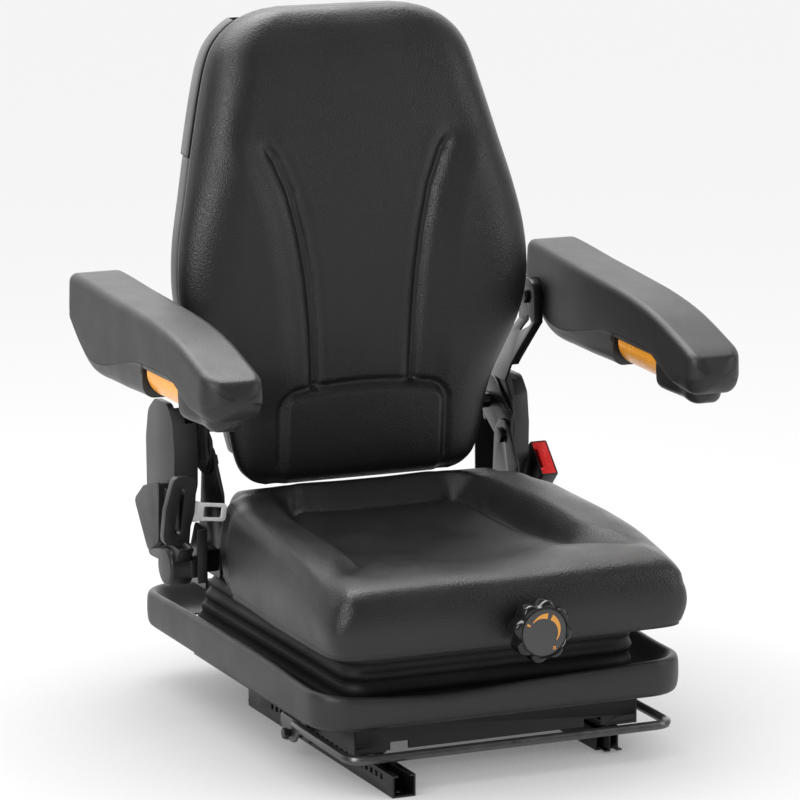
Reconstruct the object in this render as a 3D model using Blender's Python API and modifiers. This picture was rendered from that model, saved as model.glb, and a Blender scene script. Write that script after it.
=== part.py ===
# Suspension seat for a tractor: slide rails, scissor suspension, cushion, backrest, armrests, lap belt
# Metres, +Z up. The occupant faces -Y, and +X is the occupant's left.
# The origin is on the floor, under the middle of the seat's outline.

import math

import bmesh
import bpy
from mathutils import Matrix, Vector

# Gaps between pieces that touch or turn in each other
TOUCH = 0.0003
PIN_PLAY = 0.0004
LOOP_PLAY = 0.0016
SHEET = 0.003

# Middle of the whole outline, front to back, measured from the middle of the suspension
CENTRE_Y = 0.016

# Slide rails
RAIL_X = 0.157
RAIL_LENGTH = 0.460
RAIL_FRONT = -0.306
RAIL_WIDTH = 0.030
RAIL_HEIGHT = 0.027
RAIL_WALL = 0.0022
RAIL_LIP = 0.005
TOOTH_PITCH = 0.015
TOOTH_SIZE = 0.008
TOOTH_HEIGHT = 0.007
TOOTH_COUNT = 24
RIGHT_RAIL_STEPS = 6
UPPER_RAIL_FRONT = -0.235
UPPER_RAIL_LENGTH = 0.400
UPPER_RAIL_TOP = 0.0345
STEM_HALF = 0.0064

# Suspension base frame
BASE_HALF = 0.190
BASE_FRONT = -0.232
BASE_REAR = 0.300
BASE_TOP = 0.080
TRACK_GAP = 0.0225
LOWER_PIVOT_Z = 0.058
FLANGE = 0.022
BASE_LEDGE = 0.215

# Scissor
REAR_PIVOT_Y = 0.205
UPPER_PIVOT_Z = 0.178
ARM_LENGTH = 0.420
ARM_DEPTH = 0.024
ARM_THICK = 0.005
OUTER_ARM_X = 0.160
INNER_ARM_X = 0.152
ROLLER_RADIUS = 0.0109
ROLLER_WIDTH = 0.010
ROLLER_X = 0.176
SHAFT_RADIUS = 0.006
CROSS_RADIUS = 0.010

# Upper frame and pan
UPPER_HALF = 0.190
UPPER_FRONT = -0.235
UPPER_REAR = 0.235
PAN_FLOOR = 0.205
PAN_SHEET = 0.0025
PAN_HALF = 0.215
PAN_FRONT = -0.262
PAN_REAR = 0.110
PAN_RIM = 0.1745
PAN_LIP = 0.006

# Cushion
CUSHION_HALF = 0.243
CUSHION_FRONT = -0.295
CUSHION_REAR = 0.192
CUSHION_BOTTOM = 0.172
CUSHION_SEAT = 0.238
CUSHION_BOLSTER = 0.284
CUSHION_ROLL = 0.280

# Skirt dish round the suspension
SKIRT_HALF = 0.248
SKIRT_FRONT = -0.271
SKIRT_REAR = 0.362
SKIRT_TOP = 0.1265
SKIRT_BOTTOM = 0.0780
SKIRT_CORNER = 0.038
SKIRT_WALL = 0.003

# Weight adjuster
KNOB_X = 0.016
KNOB_Z = 0.190
KNOB_FACE = -0.330
KNOB_DEPTH = 0.028
KNOB_RADIUS = 0.039
KNOB_LOBES = 8
KNOB_SCALLOP = 0.0032
DIAL_RADIUS = 0.0292
SPINDLE_RADIUS = 0.006
YOKE_Y = -0.170
SPRING_X = 0.045
SPRING_RADIUS = 0.007
SPRING_WIRE = 0.0016
SPRING_TURNS = 9
SPRING_LEVER = 0.012

# Slide release bar
BAR_RADIUS = 0.006
BAR_FRONT = -0.281
BAR_HALF = 0.214
BAR_Z = 0.043
BAR_PIVOT_Y = -0.088
BAR_PIVOT_Z = 0.030
BAR_CORNER = 0.020

# Damper
DAMPER_X = -0.100
DAMPER_LOW = (-0.112, 0.054)
DAMPER_HIGH = (0.060, 0.160)
DAMPER_RADIUS = 0.013
DAMPER_ROD = 0.005
DAMPER_PIN = 0.004
DAMPER_PLAY = 0.0022

# Recliner hinge
HINGE_Y = 0.195
HINGE_Z = 0.315
HINGE_X = 0.2045
PLATE = 0.004
HINGE_BOLT = 0.006
SIDE_PLATE_X = HINGE_X + PLATE + TOUCH
BRACKET_X = SIDE_PLATE_X + PLATE + TOUCH
BRACKET_SHEET = 0.0035
LEVER_Y = 0.160
LEVER_Z = 0.235

# Backrest pad and shell
PAD_BOTTOM = 0.284
PAD_TOP = 0.883
SHELL_BOTTOM = 0.318
SHELL_TOP = 0.868
UPPER_SHELL_FROM = SHELL_TOP - 0.168

# Armrest
ARM_IN = 0.283
ARM_WIDTH = 0.077
ARM_OUT = ARM_IN + ARM_WIDTH
ARM_PIVOT_Y = 0.260
ARM_PIVOT_Z = 0.484
ARM_PIN = 0.006
LOBE_X = 0.270
ARM_TILT = {"left": 0.0, "right": 2.5}
ROLLER_GRIP_RADIUS = 0.030
ROLLER_GRIP_FROM = 0.028
ROLLER_GRIP_TO = -0.084
ROLLER_GRIP_Z = 0.4725

# Belt
BELT_X = 0.246
RETRACTOR_X = 0.2555
RETRACTOR_WIDTH = 0.036
BUCKLE_X = 0.2555
BUCKLE_THICK = 0.025
BUCKLE_WIDTH = 0.055
BUCKLE_LENGTH = 0.068
BUCKLE_FACE = (0.198, 0.279)

SIDES = (("left", -1.0), ("right", 1.0))

for old in list(bpy.data.objects):
    bpy.data.objects.remove(old, do_unlink=True)

parts = bpy.data.collections.new("tractor_suspension_seat")
bpy.context.scene.collection.children.link(parts)
cutters = bpy.data.collections.new("cutters")
bpy.context.scene.collection.children.link(cutters)


# Materials
def finish(name, colour, roughness, metallic=0.0):
    material = bpy.data.materials.new(name)
    material.use_nodes = True
    shader = material.node_tree.nodes["Principled BSDF"]
    shader.inputs["Base Color"].default_value = (*colour, 1.0)
    shader.inputs["Roughness"].default_value = roughness
    shader.inputs["Metallic"].default_value = metallic
    return material


BLACK_STEEL = finish("black_painted_steel", (0.020, 0.020, 0.021), 0.35)
GREY_STEEL = finish("bright_steel", (0.60, 0.60, 0.60), 0.30, 1.0)
COVER = finish("grained_black_vinyl", (0.030, 0.030, 0.031), 0.48)
MOULDED = finish("black_moulded_plastic", (0.045, 0.045, 0.047), 0.50)
FOAM_SKIN = finish("black_skinned_foam", (0.035, 0.035, 0.036), 0.60)
ORANGE = finish("orange_plastic", (0.85, 0.32, 0.03), 0.35)
RED = finish("red_plastic", (0.75, 0.03, 0.03), 0.40)
DIAL_GREY = finish("dial_grey_plastic", (0.075, 0.075, 0.078), 0.55)
RUBBER = finish("black_rubber", (0.025, 0.025, 0.025), 0.70)
WEBBING = finish("black_belt_webbing", (0.030, 0.030, 0.030), 0.75)


# Modelling helpers
def add_object(name, mesh, material, parent=None, collection=parts):
    thing = bpy.data.objects.new(name, mesh)
    collection.objects.link(thing)
    if material:
        mesh.materials.clear()
        mesh.materials.append(material)
    if parent:
        thing.parent = parent
    return thing


def axis_empty(name, place, parent=None):
    empty = bpy.data.objects.new(name, None)
    parts.objects.link(empty)
    empty.location = place
    if parent:
        empty.parent = parent
        empty.location = Vector(place) - parent.matrix_world.translation
    bpy.context.view_layer.update()
    return empty


def mesh_from(bm, name):
    bmesh.ops.recalc_face_normals(bm, faces=bm.faces)
    mesh = bpy.data.meshes.new(name)
    bm.to_mesh(mesh)
    bm.free()
    return mesh


def box_mesh(name, low, high, bevel=0.0, segments=1):
    """A box between two corners, with all its edges rounded by bevel."""
    bm = bmesh.new()
    bmesh.ops.create_cube(bm, size=1.0)
    size = [high[i] - low[i] for i in range(3)]
    centre = [(high[i] + low[i]) / 2 for i in range(3)]
    bmesh.ops.scale(bm, vec=size, verts=bm.verts)
    bmesh.ops.translate(bm, vec=centre, verts=bm.verts)
    if bevel:
        bmesh.ops.bevel(bm, geom=bm.edges[:], offset=bevel, segments=segments, affect="EDGES", profile=0.5)
    return mesh_from(bm, name)


def rod_mesh(name, start, end, radius, sides=16, radius_end=None):
    """A solid round rod, or a cone, between two points."""
    start = Vector(start)
    end = Vector(end)
    along = end - start
    bm = bmesh.new()
    bmesh.ops.create_cone(
        bm, cap_ends=True, segments=sides, radius1=radius,
        radius2=radius if radius_end is None else radius_end, depth=along.length,
    )
    turn = Vector((0.0, 0.0, 1.0)).rotation_difference(along.normalized()).to_matrix().to_4x4()
    bmesh.ops.transform(bm, matrix=Matrix.Translation((start + end) / 2) @ turn, verts=bm.verts)
    return mesh_from(bm, name)


def outline_mesh(name, loops, axis, low, high):
    """A flat outline with holes, filled and given thickness along one axis."""
    curve = bpy.data.curves.new(name, "CURVE")
    curve.dimensions = "2D"
    curve.fill_mode = "BOTH"
    curve.extrude = (high - low) / 2
    for loop in loops:
        spline = curve.splines.new("POLY")
        spline.points.add(len(loop) - 1)
        for point, (across, up) in zip(spline.points, loop):
            point.co = (across, up, 0.0, 1.0)
        spline.use_cyclic_u = True
    holder = bpy.data.objects.new(name, curve)
    cutters.objects.link(holder)
    middle = (low + high) / 2
    # Local X and Y of the outline become the two axes across the plate
    frames = {
        "X": Matrix(((0, 0, 1, middle), (1, 0, 0, 0), (0, 1, 0, 0), (0, 0, 0, 1))),
        "Y": Matrix(((1, 0, 0, 0), (0, 0, -1, middle), (0, 1, 0, 0), (0, 0, 0, 1))),
        "Z": Matrix(((1, 0, 0, 0), (0, 1, 0, 0), (0, 0, 1, middle), (0, 0, 0, 1))),
    }
    bpy.context.view_layer.update()
    evaluated = holder.evaluated_get(bpy.context.evaluated_depsgraph_get())
    mesh = bpy.data.meshes.new_from_object(evaluated)
    mesh.transform(frames[axis])
    bpy.data.objects.remove(holder)
    bm = bmesh.new()
    bm.from_mesh(mesh)
    bmesh.ops.remove_doubles(bm, verts=bm.verts, dist=0.00001)
    bmesh.ops.dissolve_limit(bm, angle_limit=math.radians(0.5), verts=bm.verts, edges=bm.edges)
    bmesh.ops.triangulate(bm, faces=[face for face in bm.faces if len(face.verts) > 4])
    return mesh_from(bm, name)


def tube_mesh(name, points, radius, resolution=3, cyclic=False):
    """A round bar bent along points."""
    curve = bpy.data.curves.new(name, "CURVE")
    curve.dimensions = "3D"
    curve.bevel_depth = radius
    curve.bevel_resolution = resolution
    curve.use_fill_caps = not cyclic
    spline = curve.splines.new("POLY")
    spline.points.add(len(points) - 1)
    for point, place in zip(spline.points, points):
        point.co = (*place, 1.0)
    spline.use_cyclic_u = cyclic
    holder = bpy.data.objects.new(name, curve)
    cutters.objects.link(holder)
    bpy.context.view_layer.update()
    evaluated = holder.evaluated_get(bpy.context.evaluated_depsgraph_get())
    mesh = bpy.data.meshes.new_from_object(evaluated)
    bpy.data.objects.remove(holder)
    bm = bmesh.new()
    bm.from_mesh(mesh)
    bmesh.ops.remove_doubles(bm, verts=bm.verts, dist=0.00001)
    return mesh_from(bm, name)


def turned_mesh(name, profile, sides, start, along):
    """A profile of (radius, distance) turned about the line from start along a direction."""
    bm = bmesh.new()
    rims = [bm.verts.new((radius, 0.0, distance)) for radius, distance in profile]
    for upper, lower in zip(rims[:-1], rims[1:]):
        bm.edges.new((upper, lower))
    bmesh.ops.spin(
        bm, geom=bm.verts[:] + bm.edges[:], axis=(0, 0, 1), cent=(0, 0, 0),
        angle=math.tau, steps=sides, use_merge=True,
    )
    bmesh.ops.remove_doubles(bm, verts=bm.verts, dist=0.00001)
    turn = Vector((0.0, 0.0, 1.0)).rotation_difference(Vector(along).normalized()).to_matrix().to_4x4()
    bmesh.ops.transform(bm, matrix=Matrix.Translation(start) @ turn, verts=bm.verts)
    return mesh_from(bm, name)


def arc(centre, radius, from_degrees, to_degrees, steps):
    """Points along a flat arc, both ends included."""
    points = []
    for step in range(steps + 1):
        angle = math.radians(from_degrees + (to_degrees - from_degrees) * step / steps)
        points.append((centre[0] + radius * math.cos(angle), centre[1] + radius * math.sin(angle)))
    return points


def ring(centre, radius, steps=12):
    return arc(centre, radius, 0.0, 360.0 * (steps - 1) / steps, steps - 1)


def rounded(points, radius, steps=3):
    """A polygon with its corners turned by an arc. A corner may give its own radius as a third value."""
    turned = []
    count = len(points)
    for index, corner in enumerate(points):
        here = Vector(corner[:2])
        before = Vector(points[index - 1][:2]) - here
        after = Vector(points[(index + 1) % count][:2]) - here
        size = corner[2] if len(corner) > 2 else radius
        half = before.angle(after) / 2
        reach = min(size / math.tan(half), 0.48 * before.length, 0.48 * after.length)
        if reach < 0.0002:
            turned.append(tuple(here))
            continue
        start = here + before.normalized() * reach
        end = here + after.normalized() * reach
        for step in range(steps + 1):
            part = step / steps
            curve = start * (1 - part) ** 2 + here * 2 * part * (1 - part) + end * part ** 2
            turned.append(tuple(curve))
    return turned


def offset(points, distance):
    """A closed loop moved inwards by distance along its own normals."""
    count = len(points)
    area = sum(points[i - 1][0] * points[i][1] - points[i][0] * points[i - 1][1] for i in range(count))
    turn = 1.0 if area > 0 else -1.0
    moved = []
    for index in range(count):
        before = (Vector(points[index]) - Vector(points[index - 1])).normalized()
        after = (Vector(points[(index + 1) % count]) - Vector(points[index])).normalized()
        normal = Vector((-(before + after).y, (before + after).x)).normalized() * turn
        moved.append(tuple(Vector(points[index]) + normal * distance))
    return moved


def blend_table(table, at):
    """A value read off a table of (position, value) along straight lines."""
    if at <= table[0][0]:
        return table[0][1]
    for (low, first), (high, second) in zip(table[:-1], table[1:]):
        if at <= high:
            return first + (second - first) * (at - low) / (high - low)
    return table[-1][1]


def smooth_step(low, high, at):
    part = min(1.0, max(0.0, (at - low) / (high - low)))
    return part * part * (3.0 - 2.0 * part)


def boolean(target, other_mesh, operation):
    """Joins a mesh to an object, or cuts it out, and keeps the result as the object's mesh."""
    tool = bpy.data.objects.new(target.name + "_tool", other_mesh)
    cutters.objects.link(tool)
    tool.hide_render = True
    tool.display_type = "WIRE"
    step = target.modifiers.new("boolean", "BOOLEAN")
    step.object = tool
    step.operation = operation
    step.solver = "EXACT"
    bpy.context.view_layer.update()
    evaluated = target.evaluated_get(bpy.context.evaluated_depsgraph_get())
    mesh = bpy.data.meshes.new_from_object(evaluated)
    target.modifiers.clear()
    bpy.data.objects.remove(tool)
    old = target.data
    target.data = mesh
    bpy.data.meshes.remove(old)
    bm = bmesh.new()
    bm.from_mesh(mesh)
    bmesh.ops.remove_doubles(bm, verts=bm.verts, dist=0.000005)
    bmesh.ops.dissolve_degenerate(bm, dist=0.000005, edges=bm.edges)
    bm.to_mesh(mesh)
    bm.free()
    return target


def join(target, *meshes):
    for mesh in meshes:
        boolean(target, mesh, "UNION")
    return target


def cut(target, *meshes):
    for mesh in meshes:
        boolean(target, mesh, "DIFFERENCE")
    return target


def hang(thing, empty):
    """Parents a finished object to the empty on its joint's axis, and leaves it where it is."""
    bpy.context.view_layer.update()
    place = empty.matrix_world.translation.copy()
    thing.data.transform(Matrix.Translation(-place))
    thing.parent = empty
    return thing


# Lower rails, bolted to the floor, and upper rails that run in them
def rail_section(centre):
    """A channel with its two lips turned in, open on top."""
    outer = RAIL_WIDTH / 2
    inner = outer - RAIL_WALL
    mouth = inner - RAIL_LIP
    top = RAIL_HEIGHT
    return [
        (centre - outer, 0.0), (centre + outer, 0.0), (centre + outer, top), (centre + mouth, top),
        (centre + mouth, top - RAIL_WALL), (centre + inner, top - RAIL_WALL), (centre + inner, RAIL_WALL),
        (centre - inner, RAIL_WALL), (centre - inner, top - RAIL_WALL), (centre - mouth, top - RAIL_WALL),
        (centre - mouth, top), (centre - outer, top),
    ]


def upper_rail_section(centre):
    """A hat section: a closed stem with two feet that run under the lips."""
    foot = RAIL_WIDTH / 2 - RAIL_WALL - 0.0012
    base = RAIL_WALL + TOUCH
    web = RAIL_WALL
    return [
        (centre - foot, base), (centre - STEM_HALF + web, base), (centre - STEM_HALF + web, UPPER_RAIL_TOP - web),
        (centre + STEM_HALF - web, UPPER_RAIL_TOP - web), (centre + STEM_HALF - web, base), (centre + foot, base),
        (centre + foot, base + web), (centre + STEM_HALF, base + web), (centre + STEM_HALF, UPPER_RAIL_TOP),
        (centre - STEM_HALF, UPPER_RAIL_TOP), (centre - STEM_HALF, base + web), (centre - foot, base + web),
    ]


def build_rails():
    for side, sign in SIDES:
        centre = sign * RAIL_X
        front = RAIL_FRONT
        if side == "right":
            front += RIGHT_RAIL_STEPS * TOOTH_PITCH
        mesh = outline_mesh("lower_rail_" + side, [rail_section(centre)], "Y", front, front + RAIL_LENGTH)
        rail = add_object("lower_rail_" + side, mesh, BLACK_STEEL)
        wall = centre + sign * RAIL_WIDTH / 2
        tooth_top = RAIL_HEIGHT - RAIL_WALL - 0.003
        for tooth in range(TOOTH_COUNT):
            at = front + 0.030 + tooth * TOOTH_PITCH
            low = (wall - 0.004, at, tooth_top - TOOTH_HEIGHT)
            high = (wall + 0.004, at + TOOTH_SIZE, tooth_top)
            cut(rail, box_mesh("tooth", low, high))
        for hole_y in (front + 0.018, front + RAIL_LENGTH - 0.018):
            cut(rail, rod_mesh("bolt_hole", (centre, hole_y, -0.005), (centre, hole_y, 0.012), 0.0043, 12))
        upper = outline_mesh(
            "upper_rail_" + side, [upper_rail_section(centre)], "Y", UPPER_RAIL_FRONT,
            UPPER_RAIL_FRONT + UPPER_RAIL_LENGTH,
        )
        hang(add_object("upper_rail_" + side, upper, BLACK_STEEL), carriage)


# Base frame of the suspension: two side channels with roller tracks, two cross members, release bar pivots
def track_section(half, bottom, top, pivot_z, foot, ledge=None):
    """One side of a frame seen from the front: a web with a roller track and turned edges, on the +X side."""
    web = half - SHEET
    inner = half - FLANGE
    low = pivot_z - TRACK_GAP / 2
    high = pivot_z + TRACK_GAP / 2
    track = 0.0025
    section = [
        (half, bottom), (half, top - SHEET) if ledge else (half, top),
    ]
    if ledge:
        section += [(ledge, top - SHEET), (ledge, top)]
    section += [
        (web, top), (web, high + track), (inner, high + track), (inner, high), (web, high), (web, low),
        (inner, low), (inner, low - track), (web, low - track), (web, bottom + SHEET),
        (foot, bottom + SHEET), (foot, bottom),
    ]
    return section


def mirrored(section, sign):
    return [(sign * across, up) for across, up in section]


def frame_side(name, sign, half, span, heights, pivot_z, foot, ledge=None):
    """A whole side rail of a frame. span is its front and rear, heights its bottom and top."""
    front, rear = span
    bottom, top = heights
    section = mirrored(track_section(half, bottom, top, pivot_z, foot, ledge), sign)
    return outline_mesh(name, [section], "Y", front, rear)


def build_base_frame():
    bottom = UPPER_RAIL_TOP + TOUCH
    span = (BASE_FRONT, BASE_REAR)
    heights = (bottom, BASE_TOP)
    foot = BASE_HALF - FLANGE - 0.020
    first = frame_side("base_frame", 1.0, BASE_HALF, span, heights, LOWER_PIVOT_Z, foot, BASE_LEDGE)
    frame = add_object("base_frame", first, BLACK_STEEL)
    other = frame_side("side", -1.0, BASE_HALF, span, heights, LOWER_PIVOT_Z, foot, BASE_LEDGE)
    notch_depth = 0.010
    notch_half = 0.012
    notch_at = 0.130
    lower = bottom + 0.002
    apron = [(-BASE_HALF + 0.001, BASE_TOP - 0.001), (-BASE_HALF + 0.001, lower)]
    for centre in (-notch_at, notch_at):
        apron += [
            (centre - notch_half, lower), (centre - notch_half, lower + notch_depth),
            (centre + notch_half, lower + notch_depth), (centre + notch_half, lower),
        ]
    apron += [(BASE_HALF - 0.001, lower), (BASE_HALF - 0.001, BASE_TOP - 0.001)]
    front = outline_mesh("apron", [apron], "Y", BASE_FRONT + 0.001, BASE_FRONT + 0.001 + SHEET)
    front_ledge = box_mesh(
        "front_ledge", (-BASE_LEDGE, BASE_FRONT - 0.012, BASE_TOP - SHEET),
        (BASE_LEDGE, BASE_FRONT + 0.006, BASE_TOP),
    )
    rear = box_mesh(
        "rear", (-BASE_HALF + 0.001, BASE_REAR - 0.001 - SHEET, lower),
        (BASE_HALF - 0.001, BASE_REAR - 0.001, BASE_TOP - 0.001),
    )
    rear_ledge = box_mesh(
        "rear_ledge", (-BASE_LEDGE, BASE_REAR - 0.005, BASE_TOP - SHEET),
        (BASE_LEDGE, BASE_REAR + 0.020, BASE_TOP),
    )
    tie = box_mesh("tie", (-0.150, 0.090, bottom + 0.0004), (0.150, 0.150, bottom + SHEET - 0.0004))
    join(frame, other, front, front_ledge, rear, rear_ledge, tie)
    low_y, low_z = DAMPER_LOW
    lug_x = DAMPER_X
    for away in (-1.0, 1.0):
        inner = lug_x + away * 0.0082
        outer = inner + away * SHEET
        low = min(inner, outer)
        profile = rounded([(low_y - 0.010, low_z + 0.008), (low_y + 0.008, low_z + 0.008),
                           (low_y + 0.012, bottom), (low_y - 0.014, bottom)], 0.006)
        join(frame, outline_mesh("lug", [profile], "X", low, low + SHEET))
    strap = box_mesh("strap", (-BASE_HALF + 0.04, low_y - 0.015, bottom + 0.0004),
                     (lug_x + 0.0125, low_y + 0.015, bottom + SHEET - 0.0004))
    join(frame, strap)
    pin = rod_mesh("pin", (lug_x - 0.0100, low_y, low_z), (lug_x + 0.0100, low_y, low_z), DAMPER_PIN, 12)
    join(frame, pin)
    for side, sign in SIDES:
        ear = box_mesh("ear", (sign * (BASE_HALF + 0.0005) - 0.0030, BAR_PIVOT_Y - 0.013, BAR_PIVOT_Z - 0.013),
                       (sign * (BASE_HALF + 0.0005) + 0.0030, BAR_PIVOT_Y + 0.013, bottom + 0.020))
        stud = rod_mesh("stud", (sign * (BASE_HALF - 0.002), BAR_PIVOT_Y, BAR_PIVOT_Z),
                        (sign * (BAR_HALF + 0.0040), BAR_PIVOT_Y, BAR_PIVOT_Z), 0.0040, 16)
        head = rod_mesh("head", (sign * (BAR_HALF + 0.0032), BAR_PIVOT_Y, BAR_PIVOT_Z),
                        (sign * (BAR_HALF + 0.0095), BAR_PIVOT_Y, BAR_PIVOT_Z), 0.0072, 6)
        join(frame, ear, stud, head)
        cut(frame, rod_mesh("shaft_hole", (sign * (BASE_HALF - 0.010), REAR_PIVOT_Y, LOWER_PIVOT_Z),
                            (sign * (BASE_HALF + 0.010), REAR_PIVOT_Y, LOWER_PIVOT_Z), SHAFT_RADIUS + TOUCH, 16))
    hang(frame, carriage)
    stop = turned_mesh(
        "bump_stop",
        [(0.0, 0.026), (0.007, 0.026), (0.011, 0.020), (0.009, 0.014), (0.013, 0.008), (0.013, 0.0),
         (0.0, 0.0)],
        16, (0.0, 0.120, bottom + SHEET + TOUCH), (0, 0, 1),
    )
    hang(add_object("bump_stop", stop, RUBBER), carriage)


# Skirt: a moulded dish round the suspension, with a rolled rim and a floor on the base frame's ledge
def skirt_loop(inset, height):
    """The dish's plan at one height: a rectangle with round corners, moved in by inset."""
    half = SKIRT_HALF - inset
    front = SKIRT_FRONT + inset
    rear = SKIRT_REAR - inset
    corner = max(0.012, SKIRT_CORNER - inset * 0.6)
    steps = 4
    points = []
    centres = (
        (half - corner, rear - corner, 0.0), (-half + corner, rear - corner, 90.0),
        (-half + corner, front + corner, 180.0), (half - corner, front + corner, 270.0),
    )
    for x, y, start in centres:
        points += [(px, py, height) for px, py in arc((x, y), corner, start, start + 90.0, steps)]
    return points


def build_skirt():
    floor_z = BASE_TOP + TOUCH
    profile = [
        (0.0085, SKIRT_BOTTOM + 0.0005), (0.0, SKIRT_BOTTOM + 0.010), (0.0, SKIRT_TOP - 0.008),
        (0.0025, SKIRT_TOP - 0.0015), (0.0065, SKIRT_TOP), (0.0110, SKIRT_TOP - 0.0025),
        (0.0290, floor_z + 0.012), (0.0350, floor_z + SKIRT_WALL + 0.0010), (0.0420, floor_z + SKIRT_WALL),
    ]
    bm = bmesh.new()
    rows = []
    for inset, height in profile:
        rows.append([bm.verts.new(point) for point in skirt_loop(inset, height)])
    count = len(rows[0])
    for lower, upper in zip(rows[:-1], rows[1:]):
        for index in range(count):
            after = (index + 1) % count
            bm.faces.new((lower[index], lower[after], upper[after], upper[index]))
    mesh = bpy.data.meshes.new("suspension_skirt")
    bm.to_mesh(mesh)
    bm.free()
    skirt = add_object("suspension_skirt", mesh, MOULDED)
    wall = skirt.modifiers.new("wall", "SOLIDIFY")
    wall.thickness = SKIRT_WALL
    wall.offset = -1.0
    hang(skirt, carriage)


# Bellows: the folded rubber wall between the base frame and the upper frame, inside the skirt
def bellows_loop(half, front, rear, height):
    plan = rounded([(-half, front), (half, front), (half, rear), (-half, rear)], 0.02, 3)
    return [(x, y, height) for x, y in plan]


def build_bellows():
    low = BASE_TOP + 0.0015
    high = UPPER_PIVOT_Z - TRACK_GAP / 2 - 0.0060 - 0.0015
    folds = 3
    rows = []
    bm = bmesh.new()
    for step in range(folds * 2 + 1):
        part = step / (folds * 2)
        out = 0.006 if step % 2 else 0.0
        half = BASE_HALF + 0.0022 + out
        front = BASE_FRONT + 0.0065 - out
        rear = BASE_REAR + 0.003 - (BASE_REAR - UPPER_REAR - 0.003) * part + out
        height = low + (high - low) * part
        rows.append([bm.verts.new(point) for point in bellows_loop(half, front, rear, height)])
    count = len(rows[0])
    for lower, upper in zip(rows[:-1], rows[1:]):
        for index in range(count):
            after = (index + 1) % count
            bm.faces.new((lower[index], lower[after], upper[after], upper[index]))
    mesh = bpy.data.meshes.new("bellows")
    bm.to_mesh(mesh)
    bm.free()
    bellows = add_object("bellows", mesh, RUBBER)
    wall = bellows.modifiers.new("wall", "SOLIDIFY")
    wall.thickness = 0.0015
    wall.offset = 0.0
    hang(bellows, carriage)


# Slide release bar, with its pivot ears and the two latch fingers
def build_release_bar():
    corner = BAR_CORNER
    ear_x = BAR_HALF - 0.0015
    path = [(-ear_x, BAR_PIVOT_Y - 0.012, BAR_Z + 0.001), (-BAR_HALF, BAR_PIVOT_Y - 0.040, BAR_Z + 0.001)]
    for x, y in arc((-BAR_HALF + corner, BAR_FRONT + corner), corner, 180.0, 270.0, 4):
        path.append((x, y, BAR_Z))
    for x, y in arc((BAR_HALF - corner, BAR_FRONT + corner), corner, 270.0, 360.0, 4):
        path.append((x, y, BAR_Z))
    path += [(BAR_HALF, BAR_PIVOT_Y - 0.040, BAR_Z + 0.001), (ear_x, BAR_PIVOT_Y - 0.012, BAR_Z + 0.001)]
    bar = add_object("slide_release_bar", tube_mesh("slide_release_bar", path, BAR_RADIUS, 2), GREY_STEEL)
    hole = 0.0040 + PIN_PLAY
    for side, sign in SIDES:
        ear = rounded([
            (BAR_PIVOT_Y - 0.030, BAR_Z + 0.0065), (BAR_PIVOT_Y + 0.030, BAR_Z + 0.0075),
            (BAR_PIVOT_Y + 0.030, BAR_Z - 0.006), (BAR_PIVOT_Y + 0.012, BAR_PIVOT_Z - 0.010),
            (BAR_PIVOT_Y - 0.012, BAR_PIVOT_Z - 0.010), (BAR_PIVOT_Y - 0.028, BAR_Z - 0.005),
        ], 0.008)
        loops = [ear, ring((BAR_PIVOT_Y, BAR_PIVOT_Z), hole, 16)]
        low = min(sign * (BAR_HALF - 0.0035), sign * (BAR_HALF + 0.0005))
        join(bar, outline_mesh("ear", loops, "X", low, low + 0.004))
        shank_x = sign * (BAR_HALF - 0.002)
        tooth_z = RAIL_HEIGHT - RAIL_WALL - 0.003 - TOOTH_HEIGHT / 2
        wall = sign * (RAIL_X + RAIL_WIDTH / 2 + 0.0008)
        finger_y = BAR_PIVOT_Y + 0.020
        arm = box_mesh("arm", (min(shank_x, sign * 0.1835), finger_y - 0.003, tooth_z - 0.0015),
                       (max(shank_x, sign * 0.1835), finger_y + 0.003, tooth_z + 0.0015))
        drop = box_mesh("drop", (min(shank_x, shank_x - sign * 0.003), finger_y - 0.005, tooth_z - 0.0015),
                        (max(shank_x, shank_x - sign * 0.003), finger_y + 0.005, BAR_Z + 0.004))
        tip = box_mesh("tip", (min(wall, sign * 0.1845), finger_y - 0.0028, tooth_z - 0.0025),
                       (max(wall, sign * 0.1845), finger_y + 0.0028, tooth_z + 0.0025))
        join(bar, drop, arm, tip)
    hang(bar, release_axis)


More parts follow.
